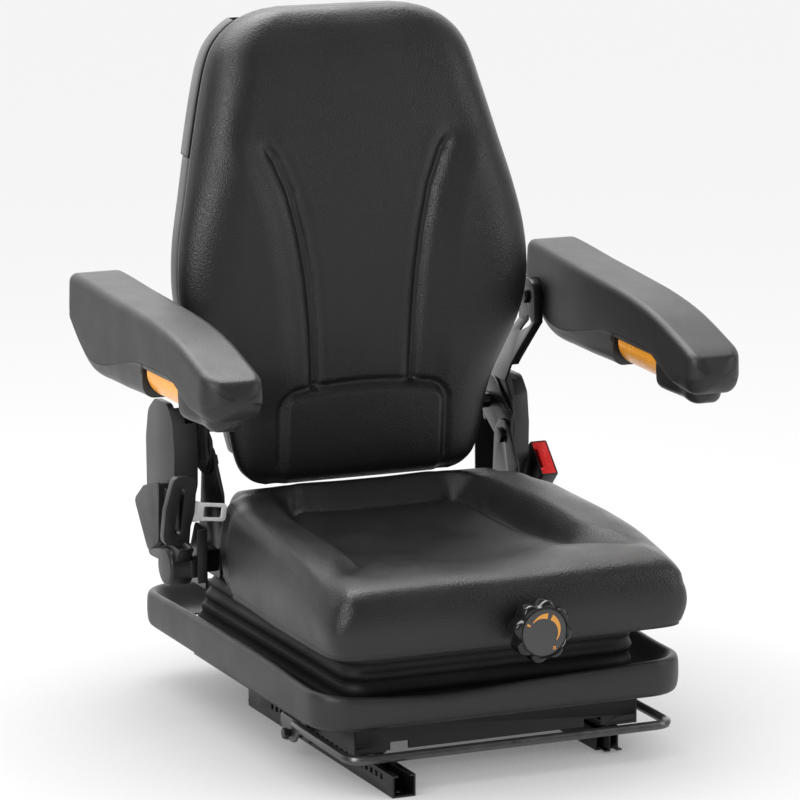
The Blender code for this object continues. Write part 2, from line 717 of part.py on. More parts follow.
# Scissor suspension
def scissor_arm(name, half_x, hinge, far, axis_empty_object, sign_lever):
    """Two arms welded to two cross tubes. It turns on a shaft at the hinge and ends in two roller studs."""
    hinge_y, hinge_z = hinge
    far_y, far_z = far
    along = Vector((far_y - hinge_y, far_z - hinge_z)).normalized()
    across = Vector((-along.y, along.x)) * (ARM_DEPTH / 2)
    start = Vector(hinge)
    end = Vector(far)
    outline = []
    angle = math.degrees(math.atan2(along.y, along.x))
    outline += arc(hinge, ARM_DEPTH / 2, angle + 90.0, angle + 270.0, 6)
    outline += arc(far, ARM_DEPTH / 2 - 0.004, angle - 90.0, angle + 90.0, 6)
    middle = (start + end) / 2
    hinge_hole = ring(hinge, SHAFT_RADIUS + PIN_PLAY, 16)
    loops = [outline, hinge_hole]
    if sign_lever < 0:
        loops.append(ring(tuple(middle), SHAFT_RADIUS - 0.001 + LOOP_PLAY, 16))
    thing = None
    for sign in (-1.0, 1.0):
        low = sign * half_x - ARM_THICK / 2
        mesh = outline_mesh(name, loops, "X", low, low + ARM_THICK)
        if thing is None:
            thing = add_object(name, mesh, BLACK_STEEL)
        else:
            far_side = mesh
    tube_at = [start + along * 0.050, end - along * 0.045]
    tubes = [rod_mesh("tube", (-half_x, p.x, p.y), (half_x, p.x, p.y), CROSS_RADIUS, 12) for p in tube_at]
    join(thing, tubes[0], far_side, tubes[1])
    for sign in (-1.0, 1.0):
        stud = rod_mesh("stud", (sign * (half_x - 0.001), far_y, far_z),
                        (sign * (ROLLER_X + ROLLER_WIDTH / 2 + 0.002), far_y, far_z), 0.0045, 12)
        join(thing, stud)
    if sign_lever > 0:
        for sign in (-1.0, 1.0):
            pin = rod_mesh("pin", (sign * (OUTER_ARM_X + ARM_THICK / 2 - 0.001), middle.x, middle.y),
                           (sign * (INNER_ARM_X - ARM_THICK / 2 - 0.003), middle.x, middle.y),
                           SHAFT_RADIUS - 0.001, 14)
            join(thing, pin)
    else:
        lever_z = hinge_z + SPRING_LEVER
        for sign in (-1.0, 1.0):
            x = KNOB_X + sign * SPRING_X
            lever = rounded([
                (tube_at[0].x - 0.009, tube_at[0].y - 0.004), (tube_at[0].x + 0.009, tube_at[0].y - 0.004),
                (hinge_y - 0.023, lever_z - 0.010), (hinge_y - 0.015, lever_z - 0.0032),
                (hinge_y + 0.004, lever_z - 0.0032), (hinge_y + 0.004, lever_z + 0.0065),
                (hinge_y - 0.010, lever_z + 0.0065),
            ], 0.003, 2)
            hole = ring((hinge_y - 0.003, lever_z + 0.0017), 0.0022, 10)
            join(thing, outline_mesh("lever", [lever, hole], "X", x - 0.002, x + 0.002))
    hang(thing, axis_empty_object)
    return thing


def build_scissor():
    scissor_arm("scissor_outer_arms", OUTER_ARM_X, (REAR_PIVOT_Y, LOWER_PIVOT_Z),
                (front_roller_y, UPPER_PIVOT_Z), outer_axis, 1.0)
    scissor_arm("scissor_inner_arms", INNER_ARM_X, (REAR_PIVOT_Y, UPPER_PIVOT_Z),
                (front_roller_y, LOWER_PIVOT_Z), inner_axis, -1.0)
    for level, height, holder in (("upper", UPPER_PIVOT_Z, outer_axis), ("lower", LOWER_PIVOT_Z, inner_axis)):
        for side, sign in SIDES:
            low = sign * ROLLER_X - ROLLER_WIDTH / 2
            centre = (front_roller_y, height)
            loops = [ring(centre, ROLLER_RADIUS, 20), ring(centre, 0.0048, 12)]
            name = level + "_roller_" + side
            mesh = outline_mesh(name, loops, "X", low, low + ROLLER_WIDTH)
            hang(add_object(name, mesh, MOULDED), holder)
    for name, height, holder in (("lower_pivot_shaft", LOWER_PIVOT_Z, carriage),
                                 ("upper_pivot_shaft", UPPER_PIVOT_Z, suspension)):
        half = BASE_HALF - 0.0005
        mesh = rod_mesh(name, (-half, REAR_PIVOT_Y, height), (half, REAR_PIVOT_Y, height), SHAFT_RADIUS, 16)
        hang(add_object(name, mesh, GREY_STEEL), holder)


# Upper frame: carries the pan, the hinge plates, the belt and the weight adjuster
def build_upper_frame():
    top = PAN_FLOOR - PAN_SHEET - TOUCH
    bottom = UPPER_PIVOT_Z - TRACK_GAP / 2 - 0.0060
    span = (UPPER_FRONT, UPPER_REAR)
    heights = (bottom, top)
    foot = UPPER_HALF - FLANGE
    first = frame_side("upper_frame", 1.0, UPPER_HALF, span, heights, UPPER_PIVOT_Z, foot)
    frame = add_object("upper_frame", first, BLACK_STEEL)
    join(frame, frame_side("side", -1.0, UPPER_HALF, span, heights, UPPER_PIVOT_Z, foot))
    for low_y, high_y in ((UPPER_FRONT, UPPER_FRONT + SHEET), (UPPER_REAR - SHEET, UPPER_REAR)):
        member = box_mesh("member", (-UPPER_HALF + 0.001, low_y, bottom), (UPPER_HALF - 0.001, high_y, top))
        join(frame, member)
    for low_y, high_y in ((UPPER_FRONT, UPPER_FRONT + 0.030), (UPPER_REAR - 0.030, UPPER_REAR)):
        flange = box_mesh("flange", (-UPPER_HALF + 0.001, low_y, top - SHEET),
                          (UPPER_HALF - 0.001, high_y, top))
        join(frame, flange)
    cut(frame, rod_mesh("spindle_hole", (KNOB_X, UPPER_FRONT - 0.01, KNOB_Z),
                        (KNOB_X, UPPER_FRONT + 0.01, KNOB_Z), SPINDLE_RADIUS + PIN_PLAY, 16))
    for sign in (-1.0, 1.0):
        cut(frame, rod_mesh("shaft_hole", (sign * (UPPER_HALF - 0.010), REAR_PIVOT_Y, UPPER_PIVOT_Z),
                            (sign * (UPPER_HALF + 0.010), REAR_PIVOT_Y, UPPER_PIVOT_Z), SHAFT_RADIUS + TOUCH, 16))
    high_y, high_z = DAMPER_HIGH
    bridge = box_mesh("bridge", (-UPPER_HALF + 0.001, high_y - 0.012, top - SHEET),
                      (UPPER_HALF - 0.001, high_y + 0.012, top))
    join(frame, bridge)
    for away in (-1.0, 1.0):
        inner = DAMPER_X + away * 0.0066
        low = min(inner, inner + away * SHEET)
        profile = rounded([(high_y - 0.011, high_z - 0.009), (high_y + 0.011, high_z - 0.009),
                           (high_y + 0.012, top), (high_y - 0.012, top)], 0.005)
        join(frame, outline_mesh("lug", [profile], "X", low, low + SHEET))
    pin = rod_mesh("pin", (DAMPER_X - 0.0080, high_y, high_z), (DAMPER_X + 0.0080, high_y, high_z),
                   DAMPER_PIN, 12)
    join(frame, pin)
    hang(frame, suspension)


def pan_loop(inset):
    """The pan's plan: round corners, tighter at the front than at the back."""
    half = PAN_HALF - inset
    front = PAN_FRONT + inset
    rear = PAN_REAR - inset
    return rounded([
        (-half, front, 0.040), (half, front, 0.040), (half, rear, 0.050), (-half, rear, 0.050),
    ], 0.040, 3)


def build_pan():
    plan = pan_loop(0.0)
    pan = add_object("seat_pan", outline_mesh("seat_pan", [plan], "Z", PAN_RIM, PAN_FLOOR), BLACK_STEEL)
    lip = outline_mesh("lip", [pan_loop(-PAN_LIP)], "Z", PAN_RIM - PAN_SHEET, PAN_RIM)
    join(pan, lip)
    hollow = outline_mesh("hollow", [pan_loop(PAN_SHEET)], "Z", PAN_RIM - 0.010, PAN_FLOOR - PAN_SHEET)
    cut(pan, hollow)
    opening = box_mesh("opening", (-0.197, PAN_REAR - 0.045, PAN_RIM - 0.010),
                       (0.197, PAN_REAR + 0.012, PAN_FLOOR - PAN_SHEET + 0.0001))
    cut(pan, opening)
    rear_tab = box_mesh("rear_tab", (-0.170, PAN_REAR - 0.010, PAN_FLOOR - PAN_SHEET),
                        (0.170, 0.150, PAN_FLOOR))
    join(pan, rear_tab)
    cut(pan, rod_mesh("spindle_hole", (KNOB_X, PAN_FRONT - 0.01, KNOB_Z), (KNOB_X, PAN_FRONT + 0.01, KNOB_Z),
                      SPINDLE_RADIUS + 0.0015, 16))
    hang(pan, suspension)


# Cushion: deep bolsters at the sides, a raised roll at the back and a soft roll over the front edge
def cushion_top(x, y):
    side = abs(x)
    bolster = smooth_step(0.095, 0.185, side - 0.10 * smooth_step(-0.05, -0.24, y))
    seat = CUSHION_SEAT + 0.016 * smooth_step(-0.13, -0.235, y)
    seat += (CUSHION_ROLL - CUSHION_SEAT) * smooth_step(0.095, 0.140, y)
    crest = CUSHION_BOLSTER - 0.030 * smooth_step(-0.06, -0.25, y)
    return seat + (crest - seat) * bolster


def rounded_block(name, cuts, place):
    """A cube cut by planes across each axis, with each point then moved by a rule."""
    bm = bmesh.new()
    bmesh.ops.create_cube(bm, size=2.0)
    for axis, positions in enumerate(cuts):
        normal = Vector((0.0, 0.0, 0.0))
        normal[axis] = 1.0
        for position in positions:
            geometry = bm.verts[:] + bm.edges[:] + bm.faces[:]
            bmesh.ops.bisect_plane(bm, geom=geometry, dist=0.000001, plane_co=normal * position,
                                   plane_no=normal)
    for vert in bm.verts:
        vert.co = place(*vert.co)
    bmesh.ops.remove_doubles(bm, verts=bm.verts, dist=0.00005)
    return mesh_from(bm, name)


def cushion_half(y):
    """Half the cushion's width: it narrows towards the hinge plates."""
    return CUSHION_HALF - 0.006 * smooth_step(-0.12, 0.06, y) - 0.039 * smooth_step(0.095, 0.146, y)


def cushion_point(a, b, c):
    spread = max(abs(a), abs(b))
    power = 11.0 if b < 0 else 7.0
    norm = (abs(a) ** power + abs(b) ** power) ** (1.0 / power)
    if norm > 0:
        a = a * spread / norm
        b = b * spread / norm
    length = CUSHION_REAR - CUSHION_FRONT
    y = (CUSHION_REAR + CUSHION_FRONT) / 2 + b * length / 2
    half = cushion_half(y)
    shoulder = 0.026
    edge = 0.80
    side_part = (c + 1.0) / 2
    if spread > 0.999 and c < 0.999:
        # Side wall: tucked in at the bottom and below the shoulder
        tuck = 0.010 * (1.0 - side_part) ** 2 + 0.006 * side_part ** 2
        x = a * (half - tuck)
        y -= b * tuck
        rim = cushion_top(x, y) - shoulder
        return (x, y, CUSHION_BOTTOM + (rim - CUSHION_BOTTOM) * side_part)
    x = a * half
    if c > 0.999:
        part = max(0.0, (spread - edge) / (1.0 - edge))
        tuck = 0.006 * smooth_step(0.9, 1.0, spread)
        x -= a * tuck
        y -= b * tuck
        return (x, y, cushion_top(x, y) - shoulder * (1.0 - math.sqrt(max(0.0, 1.0 - part * part))))
    tuck = 0.010 * smooth_step(0.9, 1.0, spread)
    return (x - a * tuck, y - b * tuck, CUSHION_BOTTOM)


def build_cushion():
    across = (-0.94, -0.84, -0.72, -0.58, -0.42, -0.15, 0.15, 0.42, 0.58, 0.72, 0.84, 0.94)
    along = (-0.95, -0.85, -0.68, -0.45, -0.10, 0.25, 0.52, 0.68, 0.80, 0.90, 0.96)
    mesh = rounded_block("seat_cushion", (across, along, (-0.5, 0.0, 0.5)), cushion_point)
    cushion = add_object("seat_cushion", mesh, COVER)
    recess = outline_mesh("recess", [pan_loop(-TOUCH)], "Z", CUSHION_BOTTOM - 0.010, PAN_FLOOR + TOUCH)
    lip_room = outline_mesh("lip_room", [pan_loop(-PAN_LIP - TOUCH)], "Z", CUSHION_BOTTOM - 0.010,
                            PAN_RIM + TOUCH)
    under = box_mesh("under", (-0.172, PAN_REAR - 0.020, CUSHION_BOTTOM - 0.01),
                     (0.172, 0.220, PAN_FLOOR + TOUCH))
    frame_room = box_mesh("frame_room", (-UPPER_HALF - 0.004, PAN_REAR - 0.030, CUSHION_BOTTOM - 0.01),
                          (UPPER_HALF + 0.004, 0.220, PAN_FLOOR + TOUCH))
    bore = rod_mesh("bore", (KNOB_X, CUSHION_FRONT - 0.02, KNOB_Z), (KNOB_X, PAN_FRONT + 0.02, KNOB_Z),
                    0.013, 16)
    cut(cushion, recess, lip_room, under, frame_room, bore)
    hang(cushion, suspension)


# Weight adjuster: lobed knob with a dial, spindle, yoke and two springs
def build_adjuster():
    lobed = []
    steps = KNOB_LOBES * 4
    for step in range(steps):
        angle = math.tau * step / steps
        radius = KNOB_RADIUS - KNOB_SCALLOP * (1.0 - math.cos(angle * KNOB_LOBES))
        lobed.append((KNOB_X + radius * math.cos(angle), KNOB_Z + radius * math.sin(angle)))
    back = KNOB_FACE + KNOB_DEPTH
    knob = add_object("weight_knob", outline_mesh("weight_knob", [lobed], "Y", KNOB_FACE, back), MOULDED)
    edge = knob.modifiers.new("edge", "BEVEL")
    edge.width = 0.0022
    edge.segments = 1
    edge.limit_method = "ANGLE"
    edge.angle_limit = math.radians(60.0)
    cut(knob, rod_mesh("dial_seat", (KNOB_X, KNOB_FACE - 0.01, KNOB_Z), (KNOB_X, KNOB_FACE + 0.0022, KNOB_Z),
                       DIAL_RADIUS + 0.0010, 24))
    join(knob, rod_mesh("boss", (KNOB_X, back - 0.001, KNOB_Z), (KNOB_X, back + 0.010, KNOB_Z), 0.011, 16))
    cut(knob, rod_mesh("bore", (KNOB_X, back - 0.012, KNOB_Z), (KNOB_X, back + 0.02, KNOB_Z),
                       SPINDLE_RADIUS + TOUCH, 16))
    hang(knob, knob_axis)
    dial_back = KNOB_FACE + 0.0022 - TOUCH
    dial_edge = [(0.0, 0.0016), (DIAL_RADIUS - 0.0006, 0.0016), (DIAL_RADIUS, 0.0010), (DIAL_RADIUS, 0.0),
                 (0.0, 0.0)]
    dial = turned_mesh("knob_dial", dial_edge, 24, (KNOB_X, dial_back, KNOB_Z), (0, -1, 0))
    hang(add_object("knob_dial", dial, DIAL_GREY), knob_axis)
    spindle = rod_mesh("weight_spindle", (KNOB_X, back - 0.0115, KNOB_Z), (KNOB_X, YOKE_Y + 0.055, KNOB_Z),
                       SPINDLE_RADIUS, 16)
    spindle = add_object("weight_spindle", spindle, GREY_STEEL)
    join(spindle, rod_mesh("collar", (KNOB_X, UPPER_FRONT + SHEET + TOUCH, KNOB_Z),
                           (KNOB_X, UPPER_FRONT + SHEET + 0.006, KNOB_Z), 0.0085, 16))
    hang(spindle, knob_axis)
    bar = rounded([
        (KNOB_X - SPRING_X - 0.012, KNOB_Z - 0.008), (KNOB_X + SPRING_X + 0.012, KNOB_Z - 0.008),
        (KNOB_X + SPRING_X + 0.012, KNOB_Z + 0.008), (KNOB_X - SPRING_X - 0.012, KNOB_Z + 0.008),
    ], 0.004)
    holes = [ring((KNOB_X, KNOB_Z), SPINDLE_RADIUS + PIN_PLAY, 16)]
    for sign in (-1.0, 1.0):
        holes.append(ring((KNOB_X + sign * SPRING_X, KNOB_Z), 0.0030, 10))
    yoke = outline_mesh("spring_yoke", [bar] + holes, "Y", YOKE_Y, YOKE_Y + 0.008)
    hang(add_object("spring_yoke", yoke, BLACK_STEEL), yoke_axis)
    start = YOKE_Y + 0.008
    end = REAR_PIVOT_Y - 0.0160
    coil_from = start + 0.030
    coil_to = end - 0.030
    for side, sign in SIDES:
        x = KNOB_X + sign * SPRING_X
        path = [(x, start - 0.010, KNOB_Z), (x, coil_from - 0.006, KNOB_Z)]
        steps = SPRING_TURNS * 5
        for step in range(steps + 1):
            angle = math.tau * step / 5
            y = coil_from + (coil_to - coil_from) * step / steps
            height = KNOB_Z + SPRING_RADIUS * math.cos(angle)
            path.append((x + SPRING_RADIUS * math.sin(angle), y, height))
        path += [(x, coil_to + 0.006, KNOB_Z), (x, end - 0.008, KNOB_Z)]
        mesh = tube_mesh("main_spring_" + side, path, SPRING_WIRE, 1)
        hang(add_object("main_spring_" + side, mesh, GREY_STEEL), suspension)


# Damper
def build_damper():
    low = Vector((0.0, *DAMPER_LOW))
    high = Vector((0.0, *DAMPER_HIGH))
    along = (high - low).normalized()
    low.x = high.x = DAMPER_X
    start = low + along * 0.020
    end = low + along * 0.150
    body = add_object("damper_tube", rod_mesh("damper_tube", start, end, DAMPER_RADIUS, 18), BLACK_STEEL)
    eye = outline_mesh("eye", [ring((low.y, low.z), 0.0105, 16)], "X", DAMPER_X - 0.0070, DAMPER_X + 0.0070)
    neck = rod_mesh("neck", low + along * 0.006, low + along * 0.024, 0.0068, 12)
    join(body, neck, eye)
    cut(body, rod_mesh("eye_hole", (DAMPER_X - 0.02, low.y, low.z), (DAMPER_X + 0.02, low.y, low.z),
                       DAMPER_PIN + PIN_PLAY, 12))
    cut(body, rod_mesh("rod_bore", low + along * 0.060, low + along * 0.170, DAMPER_ROD + PIN_PLAY, 12))
    hang(body, damper_axis)
    rod = rod_mesh("damper_rod", low + along * 0.090, high - along * 0.006, DAMPER_ROD, 12)
    rod = add_object("damper_rod", rod, GREY_STEEL)
    eye = outline_mesh("eye", [ring((high.y, high.z), 0.0090, 16)], "X", DAMPER_X - 0.0055, DAMPER_X + 0.0055)
    join(rod, eye)
    cut(rod, rod_mesh("eye_hole", (DAMPER_X - 0.02, high.y, high.z), (DAMPER_X + 0.02, high.y, high.z),
                      DAMPER_PIN + DAMPER_PLAY, 14))
    hang(rod, rod_axis)


# Recliner: a hinge plate on each side of the upper frame, and the release lever on the occupant's left
def build_hinge_plates():
    for side, sign in SIDES:
        outline = rounded([
            (0.158, 0.169, 0.006), (0.232, 0.169, 0.006), (0.234, 0.200, 0.020), (0.224, 0.262, 0.030),
            (HINGE_Y + 0.024, HINGE_Z + 0.004, 0.018), (HINGE_Y + 0.010, HINGE_Z + 0.021, 0.016),
            (HINGE_Y - 0.012, HINGE_Z + 0.020, 0.014), (0.149, 0.281, 0.016), (0.147, 0.248, 0.020),
            (0.158, 0.212, 0.012),
        ], 0.012)
        inner = sign * HINGE_X
        low = min(inner, inner + sign * PLATE)
        holes = [ring((HINGE_Y, HINGE_Z), HINGE_BOLT + PIN_PLAY, 16)]
        if side == "right":
            holes.append(ring((LEVER_Y + 0.012, LEVER_Z), 0.0054, 14))
        plate = outline_mesh("hinge_plate_" + side, [outline] + holes, "X", low, low + PLATE)
        plate = add_object("hinge_plate_" + side, plate, BLACK_STEEL)
        foot = box_mesh("foot", (min(sign * (UPPER_HALF + TOUCH), sign * (HINGE_X + 0.001)), 0.172, 0.171),
                        (max(sign * (UPPER_HALF + TOUCH), sign * (HINGE_X + 0.001)), 0.226, 0.196))
        join(plate, foot)
        hang(plate, suspension)
        bolt = rod_mesh("hinge_bolt_" + side, (sign * (HINGE_X - 0.0003), HINGE_Y, HINGE_Z),
                        (sign * (BRACKET_X + BRACKET_SHEET + 0.0004), HINGE_Y, HINGE_Z), HINGE_BOLT, 16)
        bolt = add_object("hinge_bolt_" + side, bolt, GREY_STEEL)
        join(bolt, rod_mesh("head", (sign * (HINGE_X - 0.0062), HINGE_Y, HINGE_Z),
                            (sign * (HINGE_X - TOUCH), HINGE_Y, HINGE_Z), 0.0105, 6))
        hang(bolt, suspension)


def build_recline_lever():
    hub = rod_mesh("recline_lever", (HINGE_X - 0.004, LEVER_Y + 0.012, LEVER_Z),
                   (0.2560, LEVER_Y + 0.012, LEVER_Z), 0.0050, 14)
    lever = add_object("recline_lever", hub, BLACK_STEEL)
    arm = rounded([
        (LEVER_Y + 0.024, LEVER_Z + 0.010), (LEVER_Y + 0.024, LEVER_Z - 0.012), (0.090, 0.196, 0.010),
        (0.030, 0.190, 0.008), (0.030, 0.206, 0.008), (0.090, 0.214, 0.010),
    ], 0.010)
    join(lever, outline_mesh("arm", [arm], "X", 0.2530, 0.2565))
    grip = [(0.030, 0.1865), (0.086, 0.1925), (0.086, 0.2160), (0.030, 0.2095)]
    join(lever, outline_mesh("grip", [rounded(grip, 0.008)], "X", 0.2490, 0.2605))
    hang(lever, lever_axis)


# Backrest: steel frame, padded front, two-piece moulded rear shell, side covers
HALF_WIDTH = (
    (0.284, 0.146), (0.292, 0.163), (0.305, 0.176), (0.322, 0.185), (0.345, 0.188), (0.377, 0.194),
    (0.405, 0.205), (0.440, 0.222), (0.473, 0.237), (0.510, 0.244), (0.545, 0.245), (0.592, 0.239),
    (0.647, 0.227), (0.709, 0.211), (0.782, 0.192), (0.825, 0.179), (0.846, 0.166), (0.862, 0.148),
    (0.874, 0.124), (0.883, 0.090),
)
JOINT_DEPTH = (
    (0.288, 0.226), (0.400, 0.229), (0.530, 0.233), (0.592, 0.238), (0.647, 0.247), (0.709, 0.264),
    (0.782, 0.280), (0.825, 0.286), (0.886, 0.292),
)
FRONT_FACE = (
    (0.288, 0.212), (0.305, 0.202), (0.340, 0.196), (0.400, 0.194), (0.500, 0.190), (0.600, 0.194),
    (0.700, 0.204), (0.780, 0.218), (0.830, 0.232), (0.865, 0.250), (0.886, 0.272),
)


def pad_front(x, z):
    half = blend_table(HALF_WIDTH, z)
    part = min(1.0, abs(x) / half)
    middle = blend_table(FRONT_FACE, z)
    edge = blend_table(JOINT_DEPTH, z) - 0.012
    wing = 0.010 * smooth_step(0.35, 0.75, part) * smooth_step(0.34, 0.46, z) * smooth_step(0.84, 0.70, z)
    face = middle - wing
    groove_x = 0.068 + 0.067 * max(0.0, (z - 0.50) / 0.226) ** 2.2
    groove = 0.0
    if 0.40 < z < 0.726:
        groove = 0.007 * math.exp(-((abs(x) - groove_x) / 0.007) ** 2) * smooth_step(0.726, 0.62, z)
    lumbar = 0.008 * smooth_step(0.118, 0.104, abs(x)) * smooth_step(0.402, 0.388, z)
    round_part = max(0.0, (part - 0.72) / 0.28)
    return face + groove - lumbar + (edge - face) * (1.0 - math.sqrt(max(0.0, 1.0 - round_part ** 2)))


def pad_point(a, b, c):
    z = PAD_BOTTOM + (PAD_TOP - PAD_BOTTOM) * (c + 1.0) / 2
    half = blend_table(HALF_WIDTH, z)
    x = a * half
    joint = blend_table(JOINT_DEPTH, z)
    front = pad_front(x, z)
    part = (b + 1.0) / 2
    if b > 0.999:
        return (x * 0.985, joint, z)
    if b < -0.999:
        return (x, front, z)
    return (x * (1.0 - 0.015 * part ** 2), front + (joint - front) * part, z)


def shell_depth(x, z):
    """The outer back face of the rear shell: a shallow bowl, deepest in the middle."""
    half = blend_table(HALF_WIDTH, z) - 0.003
    part = min(1.0, abs(x) / half)
    joint = blend_table(JOINT_DEPTH, z)
    upright = smooth_step(SHELL_TOP + 0.002, SHELL_TOP - 0.060, z)
    upright *= smooth_step(SHELL_BOTTOM - 0.004, SHELL_BOTTOM + 0.050, z)
    bowl = 0.026 + 0.026 * math.sqrt(max(0.0, 1.0 - part ** 4)) * upright
    return joint + TOUCH + bowl


def build_shell(name, low, high, outset):
    """One moulded wall of the rear shell between two heights. The joint edge is open towards the pad."""
    columns = 10
    rows = 8 if high - low > 0.3 else 5
    bm = bmesh.new()
    grid = []
    for row in range(rows + 1):
        z = low + (high - low) * row / rows
        half = blend_table(HALF_WIDTH, z) - 0.003 + outset
        joint = blend_table(JOINT_DEPTH, z) + TOUCH
        line = [bm.verts.new((-half, joint, z))]
        for column in range(columns + 1):
            part = -1.0 + 2.0 * column / columns
            x = part * (half - 0.002)
            line.append(bm.verts.new((x, shell_depth(x, z) + outset, z)))
        line.append(bm.verts.new((half, joint, z)))
        grid.append(line)
    for lower, upper in zip(grid[:-1], grid[1:]):
        for index in range(len(lower) - 1):
            bm.faces.new((lower[index], lower[index + 1], upper[index + 1], upper[index]))
    mesh = bpy.data.meshes.new(name)
    bm.to_mesh(mesh)
    bm.free()
    return mesh


def build_backrest():
    across = (-0.93, -0.80, -0.64, -0.53, -0.42, -0.31, -0.27, 0.27, 0.31, 0.42, 0.53, 0.64, 0.80, 0.93)
    up = (-0.97, -0.90, -0.78, -0.63, -0.60, -0.45, -0.25, -0.05, 0.15, 0.35, 0.55, 0.72, 0.85, 0.93, 0.98)
    mesh = rounded_block("backrest_pad", (across, (0.0,), up), pad_point)
    pad = add_object("backrest_pad", mesh, COVER)
    hang(pad, recline)
    wall = 0.003
    for name, low, high, outset in (
        ("rear_shell_lower", SHELL_BOTTOM, UPPER_SHELL_FROM - 0.0015, 0.0),
        ("rear_shell_upper", UPPER_SHELL_FROM, SHELL_TOP, 0.0028),
    ):
        shell = add_object(name, build_shell(name, low, high, outset), MOULDED)
        thick = shell.modifiers.new("wall", "SOLIDIFY")
        thick.thickness = wall
        thick.offset = -1.0
        if outset == 0.0:
            for sign in (-1.0, 1.0):
                near = sign * 0.150
                far = sign * 0.230
                low_end = (min(near, far), 0.200, 0.334)
                high_end = (max(near, far), 0.268, 0.372)
                cut(shell, box_mesh("tube_room", low_end, high_end))
        hang(shell, recline)
    # Frame: a cross tube, two posts and two side plates that come down to the hinge bolts
    half = SIDE_PLATE_X + PLATE
    tube_z = 0.352
    tube_y = 0.250
    tube = rod_mesh("backrest_frame", (-half + 0.001, tube_y, tube_z), (half - 0.001, tube_y, tube_z), 0.0110, 16)
    frame = add_object("backrest_frame", tube, BLACK_STEEL)
    for sign in (-1.0, 1.0):
        outline = rounded([
            (HINGE_Y - 0.016, HINGE_Z - 0.010, 0.012), (HINGE_Y + 0.010, HINGE_Z - 0.018, 0.012),
            (tube_y + 0.018, tube_z - 0.016, 0.012), (tube_y + 0.020, tube_z + 0.030, 0.012),
            (tube_y - 0.016, tube_z + 0.036, 0.012), (HINGE_Y - 0.018, HINGE_Z + 0.030, 0.014),
        ], 0.012)
        low = min(sign * SIDE_PLATE_X, sign * (SIDE_PLATE_X + PLATE))
        loops = [outline, ring((HINGE_Y, HINGE_Z), HINGE_BOLT + PIN_PLAY, 16)]
        join(frame, outline_mesh("side_plate", loops, "X", low, low + PLATE))
    posts = []
    for sign in (-1.0, 1.0):
        posts.append(tube_mesh("post", [(sign * 0.120, tube_y, tube_z), (sign * 0.120, tube_y + 0.004, 0.430),
                                        (sign * 0.105, 0.262, 0.560), (sign * 0.090, 0.292, UPPER_SHELL_FROM),
                                        (sign * 0.080, 0.302, SHELL_TOP - 0.088)], 0.008, 1))
    join(frame, *posts)
    top_z = SHELL_TOP - 0.092
    join(frame, rod_mesh("top_tube", (-0.086, 0.302, top_z), (0.086, 0.302, top_z), 0.0075, 12))
    # Studs that the pad's board is screwed to
    stud_z = 0.4487
    stud_from = blend_table(JOINT_DEPTH, stud_z) + TOUCH + 0.0001
    for sign in (-1.0, 1.0):
        join(frame, rod_mesh("stud", (sign * 0.118, stud_from, stud_z), (sign * 0.118, tube_y, stud_z), 0.006, 12))
    hang(frame, recline)


def build_side_covers():
    for side, sign in SIDES:
        outer = 0.250
        inner = BRACKET_X + BRACKET_SHEET + 0.0010
        outline = rounded([
            (0.246, 0.176, 0.008), (0.306, 0.174, 0.010), (0.310, 0.330, 0.030), (0.301, 0.368, 0.022),
            (0.276, 0.386, 0.018), (0.232, 0.386, 0.018), (0.214, 0.366, 0.016), (0.208, 0.326, 0.020),
            (0.209, 0.282, 0.020), (0.232, 0.240, 0.016),
        ], 0.012)
        low = min(sign * inner, sign * outer)
        high = max(sign * inner, sign * outer)
        block = outline_mesh("side_cover_" + side, [outline], "X", low, high)
        cover = add_object("side_cover_" + side, block, MOULDED)
        hollow = offset(outline, 0.0025)
        open_from = min(sign * (inner - 0.005), sign * (outer - 0.0025))
        open_to = max(sign * (inner - 0.005), sign * (outer - 0.0025))
        cut(cover, outline_mesh("hollow", [hollow], "X", open_from, open_to))
        # The top is open where the armrest bracket swings, and the inner half of the front wall is lower
        window = box_mesh("window", (min(sign * (inner - 0.002), sign * 0.2420), 0.228, 0.352),
                          (max(sign * (inner - 0.002), sign * 0.2420), 0.298, 0.420))
        step = box_mesh("step", (min(sign * (inner - 0.002), sign * 0.2330), 0.150, 0.362),
                        (max(sign * (inner - 0.002), sign * 0.2330), 0.240, 0.420))
        cut(cover, window, step)
        boss_y = 0.276
        boss_z = 0.325
        boss = rod_mesh("boss", (sign * (inner - 0.0006), boss_y, boss_z),
                        (sign * (outer - 0.001), boss_y, boss_z), 0.0055, 12)
        # A tab reaches in behind the upper frame, where the cover is screwed on
        tab = mirrored([
            (0.170, UPPER_REAR + TOUCH), (0.2215, UPPER_REAR + TOUCH), (0.2215, 0.2480), (0.2185, 0.2480),
            (0.2185, UPPER_REAR + TOUCH + SHEET), (0.170, UPPER_REAR + TOUCH + SHEET),
        ], sign)
        join(cover, boss, outline_mesh("tab", [tab], "Z", 0.182, 0.200))
        hang(cover, suspension)


# Armrest brackets: pressed plates with a turned edge, cranked outwards to the armrest pivots
BRACKET_BENDS = ((0.385, 0.0), (0.452, 1.0))


def crank(z):
    (low, _), (high, _) = BRACKET_BENDS
    return (LOBE_X - BRACKET_X) * min(1.0, max(0.0, (z - low) / (high - low)))


def bend_outwards(mesh, sign):
    bm = bmesh.new()
    bm.from_mesh(mesh)
    for height, _ in BRACKET_BENDS:
        geometry = bm.verts[:] + bm.edges[:] + bm.faces[:]
        bmesh.ops.bisect_plane(bm, geom=geometry, dist=0.000001, plane_co=(0, 0, height),
                               plane_no=(0, 0, 1))
    for vert in bm.verts:
        vert.co.x += sign * crank(vert.co.z)
    bmesh.ops.triangulate(bm, faces=bm.faces[:])
    return mesh_from(bm, mesh.name)


